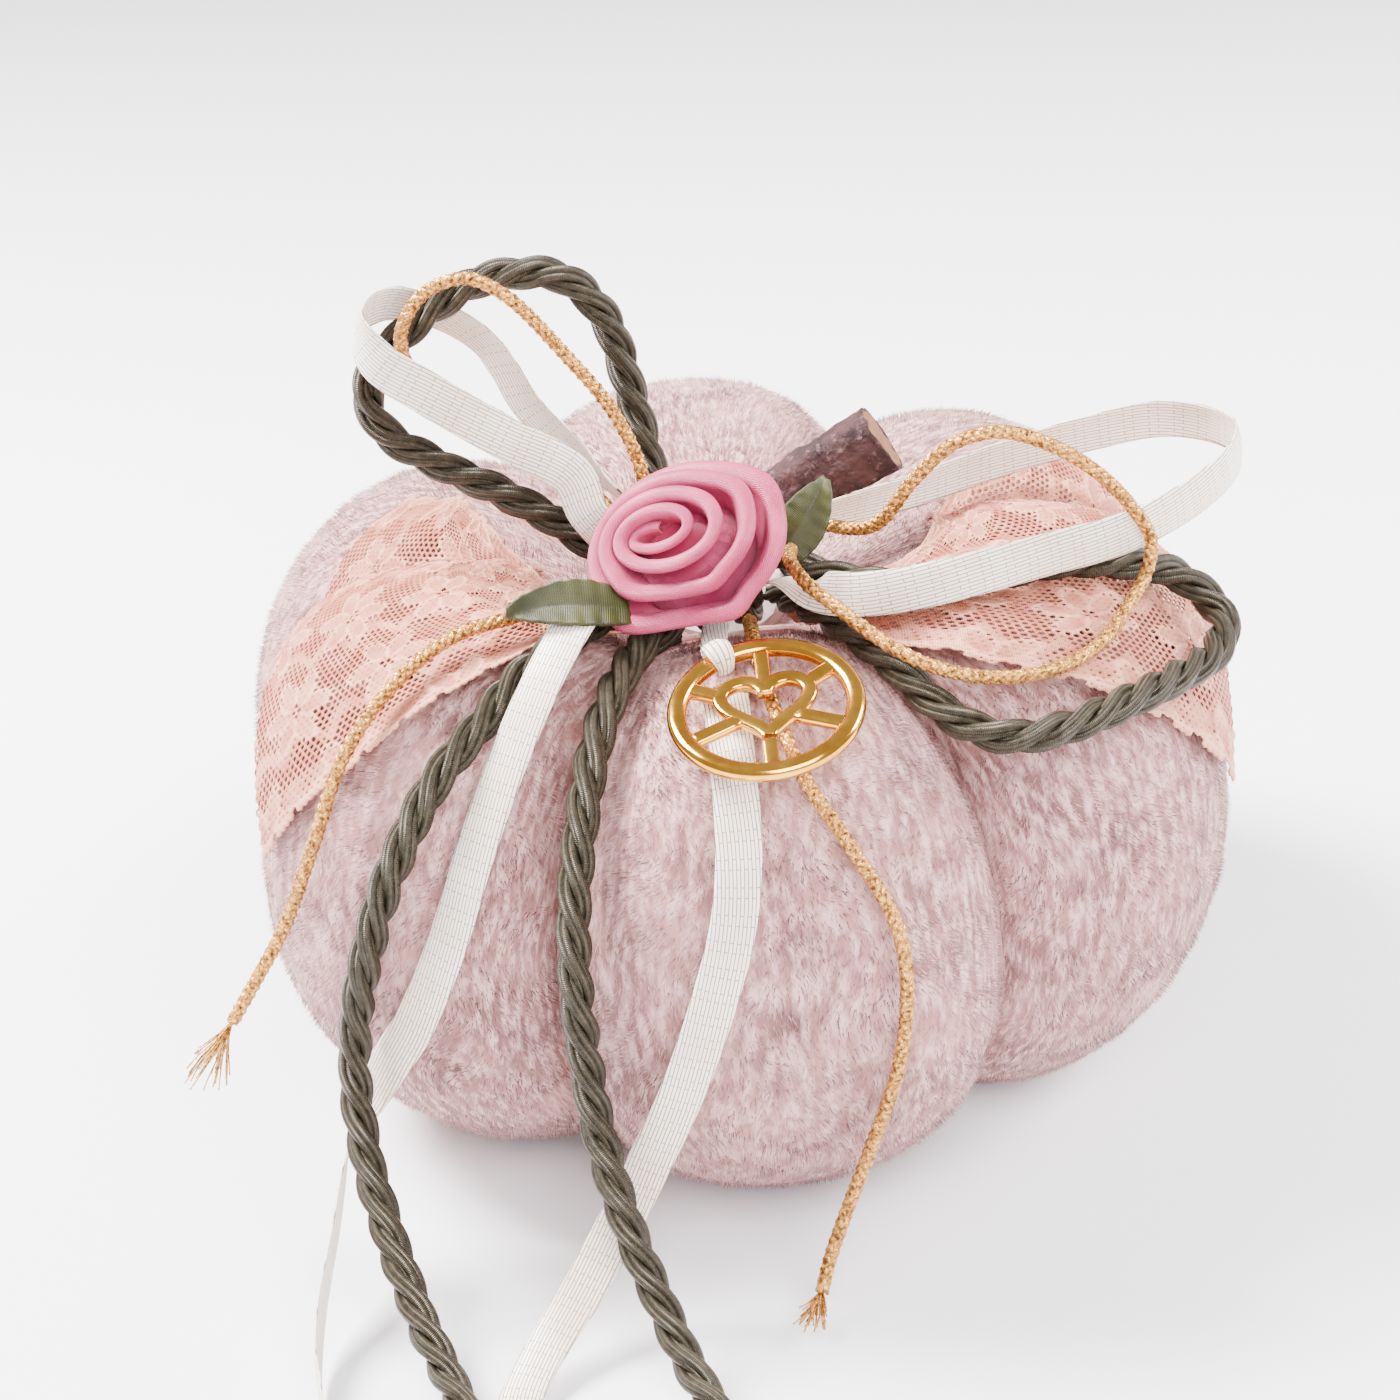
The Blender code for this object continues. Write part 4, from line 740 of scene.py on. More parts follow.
def half_section(place, equator, ends, top, middle, bottom, dimples, fullness):
    """Radius and height of an upright section. Place runs from -2 at the bottom neck through 0 at the
    widest to 2 at the top neck. Outside, radius and height are powers of a cosine and a sine, as in a
    superellipse. Inside, a dimple falls with the power 1.6 of its depth."""
    angle = np.clip(np.abs(place), 0, 1) * math.pi / 2
    power = np.where(place >= 0, fullness[0], fullness[1])
    outward, upward = np.cos(angle) ** (2 / power), np.sin(angle) ** (2 / power)
    crown = np.where(place >= 0, ends[0], ends[1])
    radius = crown + (equator - crown) * outward
    height = np.where(place >= 0, middle + (top - middle) * upward, middle - (middle - bottom) * upward)
    inward = np.clip(np.abs(place), 1, 2) - 1
    radius = np.where(np.abs(place) > 1, crown - (crown - NECK_RADIUS) * inward, radius)
    height = np.where(place > 1, top - dimples[0] * inward ** 1.6, height)
    return radius, np.where(place < -1, bottom + dimples[1] * inward ** 1.6, height)


def body_points(azimuth, place, bridge=None):
    """Skin points: the groove's section plus a swell times what the lobe's section adds. The swell is 1
    on a lobe's ridge and 0 in the groove. A bridge gives cloth that spans the grooves instead."""
    azimuth, place = np.broadcast_arrays(np.asarray(azimuth, float), np.asarray(place, float))
    step = 360 / LOBES
    across = ((azimuth - FRONT_LOBE_TURN + step / 2) % step - step / 2) / (step / 2)
    if bridge is None:
        swell = np.maximum(1 - np.abs(across) ** 2.3, 0) ** 0.55
    else:
        swell = 1 - (1 - bridge) * np.abs(across) ** 4
    lobe = half_section(place, BODY_RADIUS, (CROWN_RADIUS, FOOT_RADIUS), BODY_TOP, BODY_MIDDLE, -BOTTOM_SAG,
                        (TOP_DIMPLE, BOTTOM_DIMPLE), (2.35, 2.1))
    rise = BOTTOM_DIMPLE - BOTTOM_SAG - GROOVE_RISE
    groove = half_section(place, BODY_RADIUS - GROOVE_IN, (GROOVE_CROWN, GROOVE_CROWN), BODY_TOP - GROOVE_DROP,
                          BODY_MIDDLE - 2 * MM, GROOVE_RISE, (TOP_DIMPLE - GROOVE_DROP, rise), (2.0, 2.0))
    radius = groove[0] + (lobe[0] - groove[0]) * swell
    height = np.maximum(groove[1] + (lobe[1] - groove[1]) * swell, 0.0)
    turn = np.radians(azimuth)
    return np.stack([radius * np.sin(turn), -radius * np.cos(turn), height], -1)


def body_normals(azimuth, place, bridge=None):
    """Outward directions of that skin: the cross product of its two small steps."""
    round_it = body_points(azimuth + 0.5, place, bridge) - body_points(azimuth - 0.5, place, bridge)
    up_it = (body_points(azimuth, np.minimum(place + 0.01, 2), bridge)
             - body_points(azimuth, np.maximum(place - 0.01, -2), bridge))
    return unit(np.cross(round_it, up_it))


def ripple(points, size, seed):
    """Smooth unevenness, nearly always between -1 and 1: 1.6 times the mean of eight sine waves, whose
    directions are random and whose lengths are near one size."""
    rng = np.random.default_rng(seed)
    waves = unit(rng.normal(size=(8, 3))) * rng.uniform(0.7, 1.4, (8, 1)) * 2 * math.pi / size
    return np.sin(points @ waves.T + rng.uniform(0, 2 * math.pi, 8)).mean(-1) * 1.6


print("widest at", np.abs(body_points(np.arange(360), 0)).max())

# %% The skin before and after the stuffing swells it
COLUMNS_PER_LOBE, BODY_ROWS = 26, 78


def skin_grid():
    """Rows run from the bottom neck to the top one. Columns crowd towards the grooves, as a sine does."""
    share = np.sin(np.linspace(-1, 1, COLUMNS_PER_LOBE, endpoint=False) * math.pi / 2)
    azimuth = (FRONT_LOBE_TURN + 60 * np.arange(LOBES)[:, None] + 30 * share).ravel()
    place = np.linspace(-2, 2, BODY_ROWS)
    return np.meshgrid(azimuth, place)


def clear_of_stuffing(points, azimuth, place, normals, depth=0.55 * MM):
    """Points that lie deeper than so much under the body's formula move out along its outward direction,
    because the stuffing's packed surface starts a cloth's thickness under it."""
    below = np.sum((body_points(azimuth, place) - points) * normals, -1)
    points = points + normals * np.maximum(below - depth, 0)[..., None]
    points[..., 2] = np.maximum(points[..., 2], 0.4 * MM)
    return points


def swollen_skin(inset=1.2 * MM, reach=1.4 * MM):
    """The skin moved in, with shallow gathers beside each groove, then swelled by cloth pressure. No
    point moves further than its reach, or below the table."""
    azimuth, place = skin_grid()
    across = ((azimuth - FRONT_LOBE_TURN + 30) % 60 - 30) / 30
    near_groove = np.exp(-(1 - np.abs(across)) / 0.16)
    normals = body_normals(azimuth, place)
    start = body_points(azimuth, place)
    gather = 0.55 * MM * near_groove * np.sin(place * 34 + 3 * np.sign(across))
    dent = 0.45 * MM * (ripple(start, 24 * MM, 3) - 0.6) * (1 - near_groove)
    neck = np.clip((2 - np.abs(place)) / 0.3, 0, 1)
    start = start - normals * ((inset - gather - dent) * neck)[..., None]
    start[..., 2] = np.maximum(start[..., 2], 0.4 * MM)
    pillow = make_piece("skin_to_swell", [surface(start, around=True, caps=True)], SATIN_FINISH)
    held = (near_groove > 0.5) | (neck < 0.9) | (start[..., 2] < 0.8 * MM)
    pins = pillow.vertex_groups.new(name="held")
    pins.add(np.flatnonzero(held.ravel()).tolist(), 1.0, "REPLACE")
    cloth = pillow.modifiers.new("stuffing", "CLOTH")
    cloth.settings.use_pressure = True
    cloth.settings.uniform_pressure_force = 4
    cloth.settings.effector_weights.gravity = 0
    cloth.settings.vertex_group_mass = "held"
    cloth.point_cache.frame_start, cloth.point_cache.frame_end = 1, 20
    scene = bpy.context.scene
    for step in range(1, 21):
        scene.frame_set(step)
    swelled = pillow.evaluated_get(bpy.context.evaluated_depsgraph_get()).to_mesh()
    end = np.empty(len(swelled.vertices) * 3)
    swelled.vertices.foreach_get("co", end)
    end = end.reshape(start.shape)
    scene.frame_set(1)
    bpy.data.objects.remove(pillow)
    moved = end - start
    far = np.linalg.norm(moved, axis=-1, keepdims=True)
    print("cloth moved the skin by up to", round(float(far.max()), 5), "m before the cap")
    end = start + moved * np.minimum(1, reach / np.maximum(far, 1e-9))
    return clear_of_stuffing(end, azimuth, place, normals)


# Painted light and shade: a lit and a shaded blush, mixed in patches as crushed pile catches the light
BLUSH_PAINTED_LIT = (0.46, 0.215, 0.195, 1)
BLUSH_PAINTED_SHADE = (0.155, 0.062, 0.060, 1)


def velvet_finish():
    """Velvet's backing: a lit blush and a shaded mauve blush mixed in patches as painted light and shade,
    and short painted sheen streaks that run down the lobes, which are also relief.
    """
    made, tree, shader, places = new_finish("blush_velvet_pile", 0.62, sockets={
        "Sheen Weight": 0.25, "Sheen Roughness": 0.35, "Sheen Tint": (1.0, 0.75, 0.76, 1),
        "Specular IOR Level": 0.25})
    patches = use(tree, MOTTLE, {"Vector": places["Object"], "Color": BLUSH_PAINTED_LIT, "Other": BLUSH_PAINTED_SHADE,
                                 "Scale": 75.0, "Detail": 5.0})
    pile = node(tree, "ShaderNodeMapping", {"Vector": places["UV"], "Scale": (900.0, 240.0, 1.0)})
    streaks = node(tree, "ShaderNodeTexNoise", {"Vector": pile.outputs["Vector"], "Scale": 1.0, "Detail": 4.0})
    light = node(tree, "ShaderNodeMapRange", {"Value": streaks.outputs["Fac"], "From Min": 0.42,
                                              "From Max": 0.62})
    # painted sheen: the streaks blend the colour towards a paler blush
    colour(tree, shader, blended(tree, light.outputs["Result"], patches["Color"], (0.62, 0.38, 0.35, 1)))
    relief(tree, shader, streaks.outputs["Fac"], 0.5 * MM, 0.6)
    return made


VELVET_FINISH = velvet_finish()
SKIN = swollen_skin()
SKIN_HEIGHT, SKIN_GIRTH = 0.24, 0.46
SKIN_UV = uv_grid(np.linspace(0, SKIN_HEIGHT, BODY_ROWS),
                  np.linspace(0, SKIN_GIRTH, LOBES * COLUMNS_PER_LOBE + 1))[..., ::-1]
body = make_piece("velvet_skin", [surface(SKIN, around=True, caps=True, uv=SKIN_UV)], VELVET_FINISH)
finer = body.modifiers.new("finer", "SUBSURF")
finer.levels = finer.render_levels = 1
settle(body, "pillow", "blush_velvet", "velvet_cover")

# %% [markdown]
# ## The velvet's nap
# Velvet is a fur of short fibres that lean one way, and where they are crushed they lean another. That
# is what makes its bright and dull patches and its soft outline. Particle hair doesn't export, so every
# fibre is a closed spike of four faces, rooted on the skin and leaning along a smoothly turning field.
# The bright and dull patches are also painted light and shade in each fibre's colour.

# %% A finish for the fibres, and six patches of nap
def nap_finish():
    """Velvet fibres: each has one brightness of its own between dark and an uneven blush, partly random
    tone and partly painted light and shade of crushed pile.
    """
    made, tree, shader, places = new_finish("blush_fibre", 0.45, sockets={
        "Sheen Weight": 0.1, "Sheen Roughness": 0.3, "Specular IOR Level": 0.5})
    shade = node(tree, "ShaderNodeAttribute", attribute_name="fibre_tone_and_painted_light")
    # painted light and shade: the uneven blush mixes a lit and a shaded blush in slow patches
    uneven = use(tree, MOTTLE, {"Vector": places["Object"], "Color": (0.74, 0.45, 0.42, 1),
                                "Other": (0.38, 0.165, 0.155, 1), "Scale": 60.0, "Detail": 3.0})
    colour(tree, shader, blended(tree, shade.outputs["Fac"], (0.11, 0.042, 0.042, 1), uneven["Color"]))
    return made


NAP_FINISH = nap_finish()
FIBRES_PER_LOBE = 33000


def nap_patch(name, lobe, count):
    """Roots are spread evenly by area over one lobe's faces. Each fibre goes from its root along a mix of
    the skin's outward direction and a lean that points down the lobe and swings with slow ripples."""
    rng = np.random.default_rng(40 + lobe)
    columns = (np.arange(COLUMNS_PER_LOBE + 1) + lobe * COLUMNS_PER_LOBE) % SKIN.shape[1]
    grid = SKIN[4:-2][:, columns]
    a, b, c = grid[:-1, :-1], grid[:-1, 1:], grid[1:, :-1]
    area = np.linalg.norm(np.cross(b - a, c - a), axis=-1)
    area = area * (a[..., 2] > 0.7 * MM)
    pick = rng.choice(area.size, count, p=area.ravel() / area.sum())
    row, column = np.unravel_index(pick, area.shape)
    u, v = rng.random((2, count, 1))
    corner = grid[row, column], grid[row, column + 1], grid[row + 1, column], grid[row + 1, column + 1]
    root = (corner[0] * (1 - u) + corner[1] * u) * (1 - v) + (corner[2] * (1 - u) + corner[3] * u) * v
    outward = unit(np.cross(corner[1] - corner[0] + 1e-9, corner[2] - corner[0]))
    down = unit(corner[0] - corner[2])
    aside = np.cross(outward, down)
    swing = 1.3 * ripple(root, 17 * MM, 11) + 0.5 * ripple(root, 6 * MM, 12) + rng.normal(0, 0.35, count)
    crush = np.clip(0.62 + 0.3 * ripple(root, 9 * MM, 13) + rng.normal(0, 0.12, count), 0.15, 0.95)
    lean = down * np.cos(swing)[:, None] + aside * np.sin(swing)[:, None]
    along = unit(outward * (1.12 - crush)[:, None] + lean * crush[:, None])
    length = rng.uniform(0.7, 1.4, (count, 1)) * MM
    width = rng.uniform(0.045, 0.085, (count, 1)) * MM
    side = unit(np.cross(along, outward))
    lift = np.cross(side, along)
    points = np.stack([root + side * width, root - side * width, root + lift * width * 0.8,
                       root + along * length], 1)
    points[..., 2] = np.maximum(points[..., 2], 0.1 * MM)
    start = 4 * np.arange(count)[:, None, None]
    faces = (start + np.array([(0, 1, 2), (1, 0, 3), (2, 1, 3), (0, 2, 3)])).reshape(-1, 3)
    # each fibre's brightness: slow ripples stand for painted light and shade of crushed pile, the rest is
    # random tone
    bright = np.clip(0.45 + 0.45 * ripple(root, 8 * MM, 14) + rng.normal(0, 0.32, count), 0, 1)
    places = np.tile(np.array([(0, 0), (1, 0), (0.5, 0.5)]), (len(faces), 1, 1))
    made = make_piece(name, [(points.reshape(-1, 3), [(faces, places)])], NAP_FINISH,
                      {"fibre_tone_and_painted_light": np.repeat(bright, 4)}, smooth=False)
    return settle(made, "pillow", "blush_velvet")


for lobe in range(LOBES):
    nap_patch(f"velvet_nap_{lobe + 1}", lobe, FIBRES_PER_LOBE)

# %% [markdown]
# ## The lace strip
# Raschel lace is a net of small cells in which a pattern is filled more densely, with scalloped or picot
# edges. A see-through picture would be flat and wouldn't export well, so the net is real: each cell of
# a honeycomb is a ring with a hole, small where the flowers are and wide between them. The cells are laid
# out on the flat strip and then carried onto the body, where pleats gather the strip into the bow.

# %% The lace's pattern on the flat strip
LACE_HALF_WIDTH, LACE_LENGTH = 27 * MM, 60 * MM
CELL = 0.94 * MM
FLOWER_ROW, FLOWER_STEP, SCALLOP = 13 * MM, 14.5 * MM, 5.2 * MM


def lace_pattern(s, t):
    """How dense the lace is, 0 for net and 1 for cloth, at places along and across the flat strip. Flowers
    have a radius that waves six times round, and lie on an offset lattice with leaves between them. Their
    outlines stand out as a raised cord, which is the second array returned."""
    dense, cord = np.zeros_like(s), np.zeros_like(s)
    row = np.round(t / FLOWER_ROW)
    shift = 0.5 * (row % 2)
    column = np.round(s / FLOWER_STEP - shift) + shift
    ds, dt = s - column * FLOWER_STEP, t - row * FLOWER_ROW
    turn, away = np.arctan2(dt, ds), np.hypot(ds, dt)
    edge = (4.6 + 1.3 * np.cos(6 * turn)) * MM
    dense = np.maximum(dense, np.clip((edge - away) / (0.7 * MM), 0, 1))
    cord = np.maximum(cord, np.exp(-((away - edge) / (0.5 * MM)) ** 2))
    cord = np.maximum(cord, 0.7 * (np.cos(6 * turn) < -0.75) * (away < edge))
    dense = dense * (away > 1.0 * MM)
    leaf = np.abs(np.sin(s / (7.25 * MM) * math.pi + t / (9 * MM)) * 3.2 * MM)
    vine = np.abs((t + leaf) % FLOWER_ROW - FLOWER_ROW / 2)
    dense = np.maximum(dense, np.clip(1.4 - vine / MM, 0, 1))
    border = np.clip((np.abs(t) - LACE_HALF_WIDTH + 5.2 * MM) / (0.8 * MM), 0, 1)
    shell = 0.5 + 0.5 * np.cos(s / SCALLOP * 2 * math.pi)
    dense = np.maximum(dense, border * (0.45 + 0.55 * shell))
    rail = np.exp(-((LACE_HALF_WIDTH - 1.1 * MM - np.abs(t)) / (0.6 * MM)) ** 2)
    return np.clip(np.maximum(dense, rail), 0, 1), np.maximum(cord, rail)


def honeycomb():
    """Corners and inner corners of every cell whose centre lies on the strip, as (cells, 6, 2) arrays."""
    pitch, rise = CELL, CELL * math.sqrt(3) / 2
    j, i = np.meshgrid(np.arange(int(2 * LACE_HALF_WIDTH / rise) + 1), np.arange(int(LACE_LENGTH / pitch) + 1))
    centres = np.stack([(i + 0.5 * (j % 2)) * pitch, j * rise - LACE_HALF_WIDTH], -1).reshape(-1, 2)
    picot = 0.9 * MM * np.abs(np.sin(centres[:, 0] / SCALLOP * math.pi))
    centres = centres[np.abs(centres[:, 1]) < LACE_HALF_WIDTH - 1.3 * MM + picot]
    turn = np.radians(30 + 60 * np.arange(6))
    ring = np.stack([np.cos(turn), np.sin(turn)], -1) * pitch / math.sqrt(3)
    dense, _ = lace_pattern(centres[:, 0], centres[:, 1])
    hole = 0.66 - 0.52 * dense
    return centres[:, None] + ring, centres[:, None] + ring * hole[:, None, None]


def lace_finish():
    """Dusty pink thread: raised pattern threads get a painted highlight, and fine ribs run across all of
    it, with painted shade in the gaps between them.
    """
    made, tree, shader, places = new_finish("dusty_pink_lace_thread", 0.5, sockets={
        "Sheen Weight": 0.05, "Specular IOR Level": 0.3})
    raised = node(tree, "ShaderNodeAttribute", attribute_name="raised").outputs["Fac"]
    uneven = use(tree, MOTTLE, {"Vector": places["UV"], "Color": (0.42, 0.10, 0.056, 1),
                                "Other": (0.60, 0.215, 0.135, 1), "Scale": 260.0, "Detail": 3.0})
    # painted highlight: the raised pattern is blended towards a pale pink
    light = blended(tree, raised, uneven["Color"], (0.86, 0.40, 0.27, 1))
    ribs = use(tree, WEAVE, {"Vector": places["UV"], "Length": 1.3 * MM, "Width": 0.2 * MM, "Turn": 1.2})
    # painted shade: the gaps between the ribs are blended towards a dark red-brown
    groove = maths(tree, "MULTIPLY", maths(tree, "SUBTRACT", 1.0, ribs["Height"]), 0.4)
    colour(tree, shader, blended(tree, groove, light, (0.18, 0.034, 0.018, 1)))
    relief(tree, shader, ribs["Height"], 0.06 * MM, 0.7)
    return made


LACE_FINISH = lace_finish()
print("lace cells", len(honeycomb()[0]))


# %% Carry the strip onto the body
def on_wing(flat, azimuths, widths, reach, slant, lift):
    """A flat (s, t) point goes to an azimuth and a place on the body's bridged skin, pushed out by a
    lift. Pleats are waves across the strip that grow towards the bow."""
    along, across = flat[..., 0] / LACE_LENGTH, flat[..., 1] / LACE_HALF_WIDTH
    marks = np.linspace(0, 1, len(azimuths))
    place = 1.38 - along * (reach - slant * across)
    middle = np.interp(along, marks, azimuths)
    half_width = np.interp(along, marks, widths) * 25 * MM
    radius = np.linalg.norm(body_points(middle, place)[..., :2], axis=-1)
    azimuth = middle + np.degrees(half_width / radius) * across
    bridge = np.interp(along, [0, 0.3, 0.7, 1], [0.4, 0.6, 0.8, 0.85])
    gathered = np.clip(1 - along, 0, 1) ** 1.6
    pleat = 1.5 * MM * gathered * (0.5 + 0.5 * np.sin(across * 11 + 5 * along))
    flutter = 0.35 * MM * np.sin(along * 23 + 2 * across) * np.abs(across) ** 3
    points, out = body_points(azimuth, place, bridge), body_normals(azimuth, place, bridge)
    return points + out * (0.8 * MM + pleat + flutter + lift)[..., None]


def lace_wing(name, node_name, azimuths, widths, reach, slant):
    """The cells' outer corners are shared with their neighbours, and their inner corners are their own.
    The raised pattern lifts a corner by up to 0.42 mm."""
    outer, inner = honeycomb()
    keys = np.round(outer.reshape(-1, 2) / (0.01 * MM)).astype(int)
    _, first, same = np.unique(keys, axis=0, return_index=True, return_inverse=True)
    shared = outer.reshape(-1, 2)[first]
    flat = np.vstack([shared, inner.reshape(-1, 2)])
    flat[:, 0] = np.clip(flat[:, 0], 0, LACE_LENGTH)
    dense, cord = lace_pattern(flat[:, 0], flat[:, 1])
    lift = (0.12 * dense + 0.3 * cord) * MM
    points = on_wing(flat, azimuths, widths, reach, slant, lift)
    corner = same.reshape(-1, 6)
    own = len(shared) + np.arange(len(corner) * 6).reshape(-1, 6)
    faces = np.stack([corner, np.roll(corner, -1, 1), np.roll(own, -1, 1), own], -1).reshape(-1, 4)
    # how much painted highlight each point gets: the pattern and its cord, plus slow unevenness
    raised = np.clip(0.25 * dense + cord + 0.35 * ripple(points, 5 * MM, 21), 0, 1)
    made = make_piece(name, [(points, [(faces, flat[faces])])], LACE_FINISH, {"raised": raised})
    wall = made.modifiers.new("thread thickness", "SOLIDIFY")
    wall.thickness, wall.offset = 0.3 * MM, 0.0
    settle(made, "pillow", "dusty_pink_lace", node_name)


lace_wing("lace_left", "lace_wing_left", (-42, -58, -65, -71, -78), (0.24, 0.62, 0.9, 0.95, 0.77),
          reach=0.845, slant=-0.405)
lace_wing("lace_right", "lace_wing_right", (36, 55, 67, 78, 89), (0.24, 0.68, 1.0, 1.06, 0.96),
          reach=0.962, slant=0.328)

# %% [markdown]
# ## The ribbon rose
# A ribbon rose is one length of satin wound on itself, with its upper edge rolled outwards at each turn.
# So it is one surface: round the rose it runs along the ribbon, and up the rose it runs from the gathered
# foot, over the rim and a little way down again. The rim's outline grows from a flat, narrow heart to a
# wide petal with three blunt corners, where the ribbon is folded over.

# %% The rose's finish
ROSE_AXIS = unit(np.array([-0.35, -0.64, 0.68]))
ROSE_CENTRE = np.array([-3.5, -29.8, 90.4]) * MM
ROSE_RIGHT = unit(np.array([1.0, 0, 0]) - ROSE_AXIS * ROSE_AXIS[0])
ROSE_UP = np.cross(ROSE_AXIS, ROSE_RIGHT)


def ribbon_satin(name, dark, light, deep, turn, coat=0.1):
    """Coloured satin: uneven dye, fine slanting threads, and painted shade that darkens the grooves
    between them.
    """
    made, tree, shader, places = new_finish(name, 0.42, sockets={
        "Specular IOR Level": 0.4, "Sheen Weight": 0.06, "Sheen Roughness": 0.3,
        "Coat Weight": coat, "Coat Roughness": 0.4})
    uneven = use(tree, MOTTLE, {"Vector": places["Object"], "Color": dark, "Other": light,
                                "Scale": 170.0, "Detail": 3.0})
    weave = use(tree, WEAVE, {"Vector": places["UV"], "Length": 0.9 * MM, "Width": 0.24 * MM, "Turn": turn})
    # painted shade: the grooves between the threads are blended towards the deep colour
    groove = maths(tree, "MULTIPLY", maths(tree, "SUBTRACT", 1.0, weave["Height"]), 0.6)
    colour(tree, shader, blended(tree, groove, uneven["Color"], deep))
    relief(tree, shader, weave["Height"], 0.06 * MM, 0.7)
    return made


# the third colour is the painted shade in the grooves
ROSE_FINISH = ribbon_satin("rose_pink_satin", (0.40, 0.024, 0.092, 1), (0.60, 0.072, 0.175, 1),
                           (0.16, 0.006, 0.022, 1), 0.7)
print("rose finish made")


# %% Wind the rose
def wound_ribbon(turns=4.25, steps=84, rows=19):
    """Along: an ellipse whose half axes grow with each turn, while its rim first rises and then sinks. Up: a
    wall that leans out from the foot, a round rim and a short roll. Corners are three bumps in the radius
    of the outer turns, with a hollow between two of them."""
    turn = np.linspace(0, turns, int(turns * steps))
    whole = np.arange(6)
    half_right = np.interp(turn, whole, (1.9, 4.3, 7.2, 10.2, 12.4, 13.0))
    half_up = np.interp(turn, whole, (0.5, 2.4, 4.8, 7.6, 9.9, 10.6))
    high = np.interp(turn, whole, (5.2, 6.2, 6.0, 4.6, 2.0, 1.0))
    middle = np.stack([np.interp(turn, (0, 3.2, 4.3), (-3.0, -0.6, 0)),
                       np.interp(turn, (0, 3.2, 4.3), (3.0, 0.8, 0))], 1)
    angle = 2 * math.pi * turn + 0.9
    bend = np.degrees(np.arctan2(np.sin(angle), np.cos(angle)))
    outer = np.clip((turn - 1.7) / 1.4, 0, 1)
    corner = outer * (0.20 * np.exp(-((bend + 128) / 17) ** 2) + 0.12 * np.exp(-((bend + 62) / 11) ** 2)
                      + 0.10 * np.exp(-((bend - 38) / 20) ** 2) - 0.07 * np.exp(-((bend + 92) / 16) ** 2))
    grow = 1 + corner
    dip = outer * 1.3 * np.exp(-((bend + 92) / 20) ** 2)
    tilt = 0.25 * np.exp(-turn / 1.2)
    v = np.linspace(0, 1, rows)
    roll = np.clip((v - 0.68) / 0.32, 0, 1) * math.pi * 0.95
    rim = np.interp(turn, (0, 1.5, 4.3), (0.5, 0.85, 1.45))[:, None]
    wall = np.clip(v / 0.68, 0, 1)
    share = 0.50 + 0.50 * wall ** 0.8
    out = rim * (1 - np.cos(roll)) - 0.25 * rim
    rise = -5.6 + (high[:, None] - dip[:, None] + 5.6) * wall ** 0.9 + rim * np.sin(roll) * 0.75
    right = (middle[:, :1] + np.cos(angle)[:, None] * (half_right * grow)[:, None] * share
             + np.cos(angle)[:, None] * out)
    up = (middle[:, 1:] + np.sin(angle)[:, None] * (half_up * grow)[:, None] * share
          + np.sin(angle)[:, None] * out)
    slope = np.sin(tilt)[:, None]
    right, up = right - slope * up, up + slope * right
    rise = rise + 0.25 * np.sin(3 * angle + turn)[:, None] * outer[:, None] * wall
    points = (right[..., None] * ROSE_RIGHT + up[..., None] * ROSE_UP + rise[..., None] * ROSE_AXIS) * MM
    length = np.cumsum(np.hypot(half_right, half_up)) * 2 * math.pi / steps / 1.4 * MM
    return surface(points + ROSE_CENTRE, uv=uv_grid(length, v * 13 * MM))


def rose_foot():
    """The gathered foot under the petals: a low dome turned round the rose's axis."""
    turn = np.linspace(0, 2 * math.pi, 40, endpoint=False)
    radius = np.array([5.0, 7.6, 8.6, 8.2, 6.4, 4.2]) * MM
    height = np.array([-6.0, -5.6, -3.0, 0.4, 2.6, 3.6]) * MM
    flat = np.cos(turn)[:, None] * ROSE_RIGHT + np.sin(turn)[:, None] * ROSE_UP
    points = ROSE_CENTRE + radius[:, None, None] * flat + height[:, None, None] * ROSE_AXIS
    return surface(points, around=True, caps=True)


rose = make_piece("wound_rose", [wound_ribbon()], ROSE_FINISH)
wall = rose.modifiers.new("ribbon thickness", "SOLIDIFY")
wall.thickness, wall.offset = RIBBON_THICKNESS, 0.0
settle(rose, "pillow", "rose_satin", "ribbon_rose")
settle(make_piece("rose_foot", [rose_foot()], ROSE_FINISH), "pillow", "rose_satin")

# %% [markdown]
# ## The leaves
# Each leaf is a loop of green ribbon pressed flat, so it has a fold down its middle, fine ribs across
# and a pinched tip. A grid gives the pointed oval, its height makes the fold, and Solidify the cloth.

# %% Two ribbon leaves
LEAF_WIDTH = 7.0 * MM
# the third colour is the painted shade in the grooves
LEAF_FINISH = ribbon_satin("olive_ribbon", (0.020, 0.022, 0.0025, 1), (0.070, 0.072, 0.007, 1),
                           (0.008, 0.008, 0.002, 1), 1.45, 0.0)


def ribbon_leaf(name, node_name, base, tip, facing):
    """Half width follows a sine raised to 0.75, and the height adds an arch, a fold and a curled edge."""
    base, tip = np.array(base) * MM, np.array(tip) * MM
    line = unit(tip - base)
    across = unit(np.cross(line, facing))
    normal = np.cross(across, line)
    length = np.linalg.norm(tip - base) * 1.06
    share, side = np.linspace(0, 1, 40)[:, None], np.linspace(-1, 1, 25)[None, :]
    half = LEAF_WIDTH / 2 * np.sin(math.pi * (0.2 + 0.79 * share)) ** 0.75
    height = 1.3 * np.sin(math.pi * share) + 1.1 * np.abs(side) ** 1.3 * np.sin(math.pi * share) ** 0.5
    height = height + 0.8 * side * share ** 2 + 0.12 * np.sin(share * 44) * np.abs(side)
    points = (base + line * (share * length)[..., None] + across * (half * side)[..., None]
              + normal * (height * MM)[..., None])
    made = make_piece(name, [surface(points, uv=uv_grid(share.ravel() * length, side.ravel() * 4 * MM))],
                      LEAF_FINISH)
    cloth = made.modifiers.new("ribbon thickness", "SOLIDIFY")
    cloth.thickness, cloth.offset = 0.5 * MM, 0.0
    return settle(made, "pillow", "leaf_satin", node_name)


